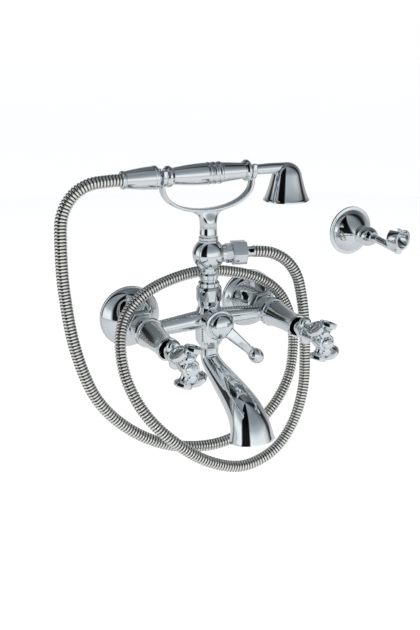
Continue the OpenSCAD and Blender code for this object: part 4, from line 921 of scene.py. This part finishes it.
# Pieces whose solids already have their true shape
# The body casting, the ball column and the small turned pieces stay as they were made, in
# polished chrome; hidden seals, discs, spindles and screws get the stuff they are made of.
rubber = finish_of("black_rubber", (0.018, 0.018, 0.019), (0.03, 0.03, 0.031), 0, 0.55, 0.8, 120)
brass = finish_of("bare_brass", (0.78, 0.62, 0.32), (0.68, 0.52, 0.25), 1, 0.22, 0.4, 80)
steel = finish_of("plain_steel", (0.60, 0.61, 0.62), (0.50, 0.51, 0.52), 1, 0.25, 0.42, 110)
ceramic = finish_of("lapped_ceramic", (0.86, 0.85, 0.80), (0.80, 0.79, 0.74), 0, 0.2, 0.35, 70)
finishes = {"chrome": chrome, "rubber": rubber, "brass": brass, "steel": steel, "ceramic": ceramic,
            "hose": hose_steel}
slots = {part["node"]: part["material_slot"] for part in frame["record"]["subparts"]}
for node, solid in frame["nodes"].items():
    solid.data.materials.clear()
    solid.data.materials.append(finishes[slots[node]])

# Studio
# A white room with a pale floor below the mixer. A glowing tent stands round the set, painted with light
# and dark: bright bands, grey and dark panels and a dark slit for the camera; only the plating sees it, as
# polished metal shows its surroundings.
room = bpy.data.worlds.new("white_room")
bpy.context.scene.world = room
room.use_nodes = True
room_nodes, room_links = room.node_tree.nodes, room.node_tree.links
room_light = room_nodes["Background"]
room_light.inputs["Color"].default_value = (0.96, 0.98, 1, 1)
room_light.inputs["Strength"].default_value = 0.6
room_seen = room_nodes.new("ShaderNodeBackground")
room_seen.inputs["Color"].default_value = (1, 1, 1, 1)
room_seen.inputs["Strength"].default_value = 1
ray = room_nodes.new("ShaderNodeLightPath")
seen = room_nodes.new("ShaderNodeMath")
seen.operation = "MAXIMUM"
seen_all = room_nodes.new("ShaderNodeMath")
seen_all.operation = "MAXIMUM"
either = room_nodes.new("ShaderNodeMixShader")
room_links.new(ray.outputs["Is Camera Ray"], seen.inputs[0])
room_links.new(ray.outputs["Is Glossy Ray"], seen.inputs[1])
room_links.new(seen.outputs[0], seen_all.inputs[0])
room_links.new(ray.outputs["Is Transmission Ray"], seen_all.inputs[1])
room_links.new(seen_all.outputs[0], either.inputs["Fac"])
room_links.new(room_light.outputs[0], either.inputs[1])
room_links.new(room_seen.outputs[0], either.inputs[2])
room_links.new(either.outputs[0], room_nodes["World Output"].inputs["Surface"])

floor_z, floor_size = -0.30, 60
bpy.ops.object.select_all(action="DESELECT")
bpy.ops.mesh.primitive_plane_add(size=floor_size, location=(0, 0, floor_z))
floor = bpy.context.object
floor.name = "pale_floor"
floor_paint = bpy.data.materials.new("pale_floor_paint")
floor_paint.use_nodes = True
floor_nodes, floor_links = floor_paint.node_tree.nodes, floor_paint.node_tree.links
floor_surface = floor_nodes["Principled BSDF"]
floor_surface.inputs["Base Color"].default_value = (0.9, 0.9, 0.9, 1)
floor_surface.inputs["Roughness"].default_value = 0.9
floor_glow = floor_nodes.new("ShaderNodeEmission")
floor_ray = floor_nodes.new("ShaderNodeLightPath")
floor_sum = floor_nodes.new("ShaderNodeAddShader")
floor_lift = floor_nodes.new("ShaderNodeMath")
floor_lift.operation = "MULTIPLY"
floor_lift.inputs[1].default_value = 0.43
floor_links.new(floor_ray.outputs["Is Camera Ray"], floor_lift.inputs[0])
floor_links.new(floor_lift.outputs[0], floor_glow.inputs["Strength"])
floor_links.new(floor_surface.outputs[0], floor_sum.inputs[0])
floor_links.new(floor_glow.outputs[0], floor_sum.inputs[1])
floor_links.new(floor_sum.outputs[0], floor_nodes["Material Output"].inputs["Surface"])
floor.data.materials.append(floor_paint)

tent_r = 2.5
bpy.ops.object.select_all(action="DESELECT")
bpy.ops.mesh.primitive_uv_sphere_add(segments=64, ring_count=32, radius=tent_r)
tent = bpy.context.object
tent.name = "glowing_tent"
tent_paint = bpy.data.materials.new("glowing_tent_paint")
tent_paint.use_nodes = True
tent_nodes, tent_links = tent_paint.node_tree.nodes, tent_paint.node_tree.links


def sum_of(kind, *values):
    """One step of arithmetic in the tent's painted light."""
    node = tent_nodes.new("ShaderNodeMath")
    node.operation = kind
    for slot, value in enumerate(values):
        if isinstance(value, float):
            node.inputs[slot].default_value = value
        else:
            tent_links.new(value, node.inputs[slot])
    return node.outputs[0]


def shades(value, steps):
    """Painted light in panels: shades of glow along a value from 0 to 1."""
    node = tent_nodes.new("ShaderNodeValToRGB")
    ramp = node.color_ramp
    ramp.elements.remove(ramp.elements[1])
    for i, (at, shade) in enumerate(steps):
        element = ramp.elements[0] if i == 0 else ramp.elements.new(at)
        element.position = at
        element.color = (*shade, 1) if isinstance(shade, tuple) else (shade, shade, shade, 1)
    tent_links.new(value, node.inputs["Fac"])
    return node.outputs["Color"]


tent_spot = tent_nodes.new("ShaderNodeTexCoord")
tent_way = tent_nodes.new("ShaderNodeVectorMath")
tent_way.operation = "NORMALIZE"
tent_axes = tent_nodes.new("ShaderNodeSeparateXYZ")
tent_links.new(tent_spot.outputs["Object"], tent_way.inputs[0])
tent_links.new(tent_way.outputs["Vector"], tent_axes.inputs[0])
slit_turn = radians(-24)
facing = sum_of("ARCTAN2", tent_axes.outputs["X"], sum_of("MULTIPLY", tent_axes.outputs["Y"], -1.0))
from_slit = sum_of("WRAP", sum_of("SUBTRACT", facing, slit_turn), pi, -pi)
# Painted light round the set: bright bands glow like softboxes, near-black bands stand for dark flags
around = shades(sum_of("ADD", sum_of("DIVIDE", from_slit, 2 * pi), 0.5), [
    (0.0, 0.5), (0.125, 0.45), (0.167, 0.04), (0.208, 0.04), (0.228, 0.9), (0.339, 1.0), (0.356, 0.01),
    (0.461, 0.01), (0.478, 1.0), (0.667, 0.9), (0.736, 0.55), (0.772, 0.04), (0.811, 0.04), (0.833, 0.35),
    (1.0, 0.5)])
height = sum_of("ADD", sum_of("DIVIDE", sum_of("ARCSINE", tent_axes.outputs["Z"]), pi), 0.5)
# Painted light from below to above: grey under the set, a white band glowing just above its level, darker
# grey overhead
above = shades(height, [
    (0.0, (0.55, 0.56, 0.57)), (0.42, (0.80, 0.82, 0.83)), (0.52, (1.0, 1.0, 1.0)),
    (0.57, (0.90, 0.93, 0.95)), (0.63, (0.46, 0.50, 0.52)), (0.72, (0.29, 0.32, 0.34)),
    (0.82, (0.25, 0.28, 0.30)), (1.0, (0.36, 0.39, 0.41))])
panel = tent_nodes.new("ShaderNodeMix")
panel.data_type = "RGBA"
panel.blend_type = "MULTIPLY"
panel.inputs["Factor"].default_value = 1
tent_links.new(above, panel.inputs["A"])
tent_links.new(around, panel.inputs["B"])
tent_glow = tent_nodes.new("ShaderNodeEmission")
tent_glow.inputs["Strength"].default_value = 1.12
tent_links.new(panel.outputs["Result"], tent_glow.inputs["Color"])
tent_links.new(tent_glow.outputs[0], tent_nodes["Material Output"].inputs["Surface"])
tent.data.materials.append(tent_paint)
tent.visible_camera = tent.visible_diffuse = tent.visible_shadow = tent.visible_transmission = False

lamp_aim = Vector((0, -0.06, 0))
for lamp_name, lamp_place, lamp_power, lamp_size in (("key_lamp", (-0.9, -0.9, 1.1), 9, 0.8),
                                                     ("fill_lamp", (1.1, -0.8, 0.7), 5, 0.9)):
    bpy.ops.object.light_add(type="AREA", location=lamp_place)
    lamp = bpy.context.object
    lamp.name = lamp_name
    lamp.data.energy = lamp_power
    lamp.data.size = lamp_size
    lamp.visible_glossy = False
    lamp.rotation_euler = (lamp_aim - lamp.location).to_track_quat("-Z", "Y").to_euler()

bpy.context.scene.view_settings.view_transform = "Standard"
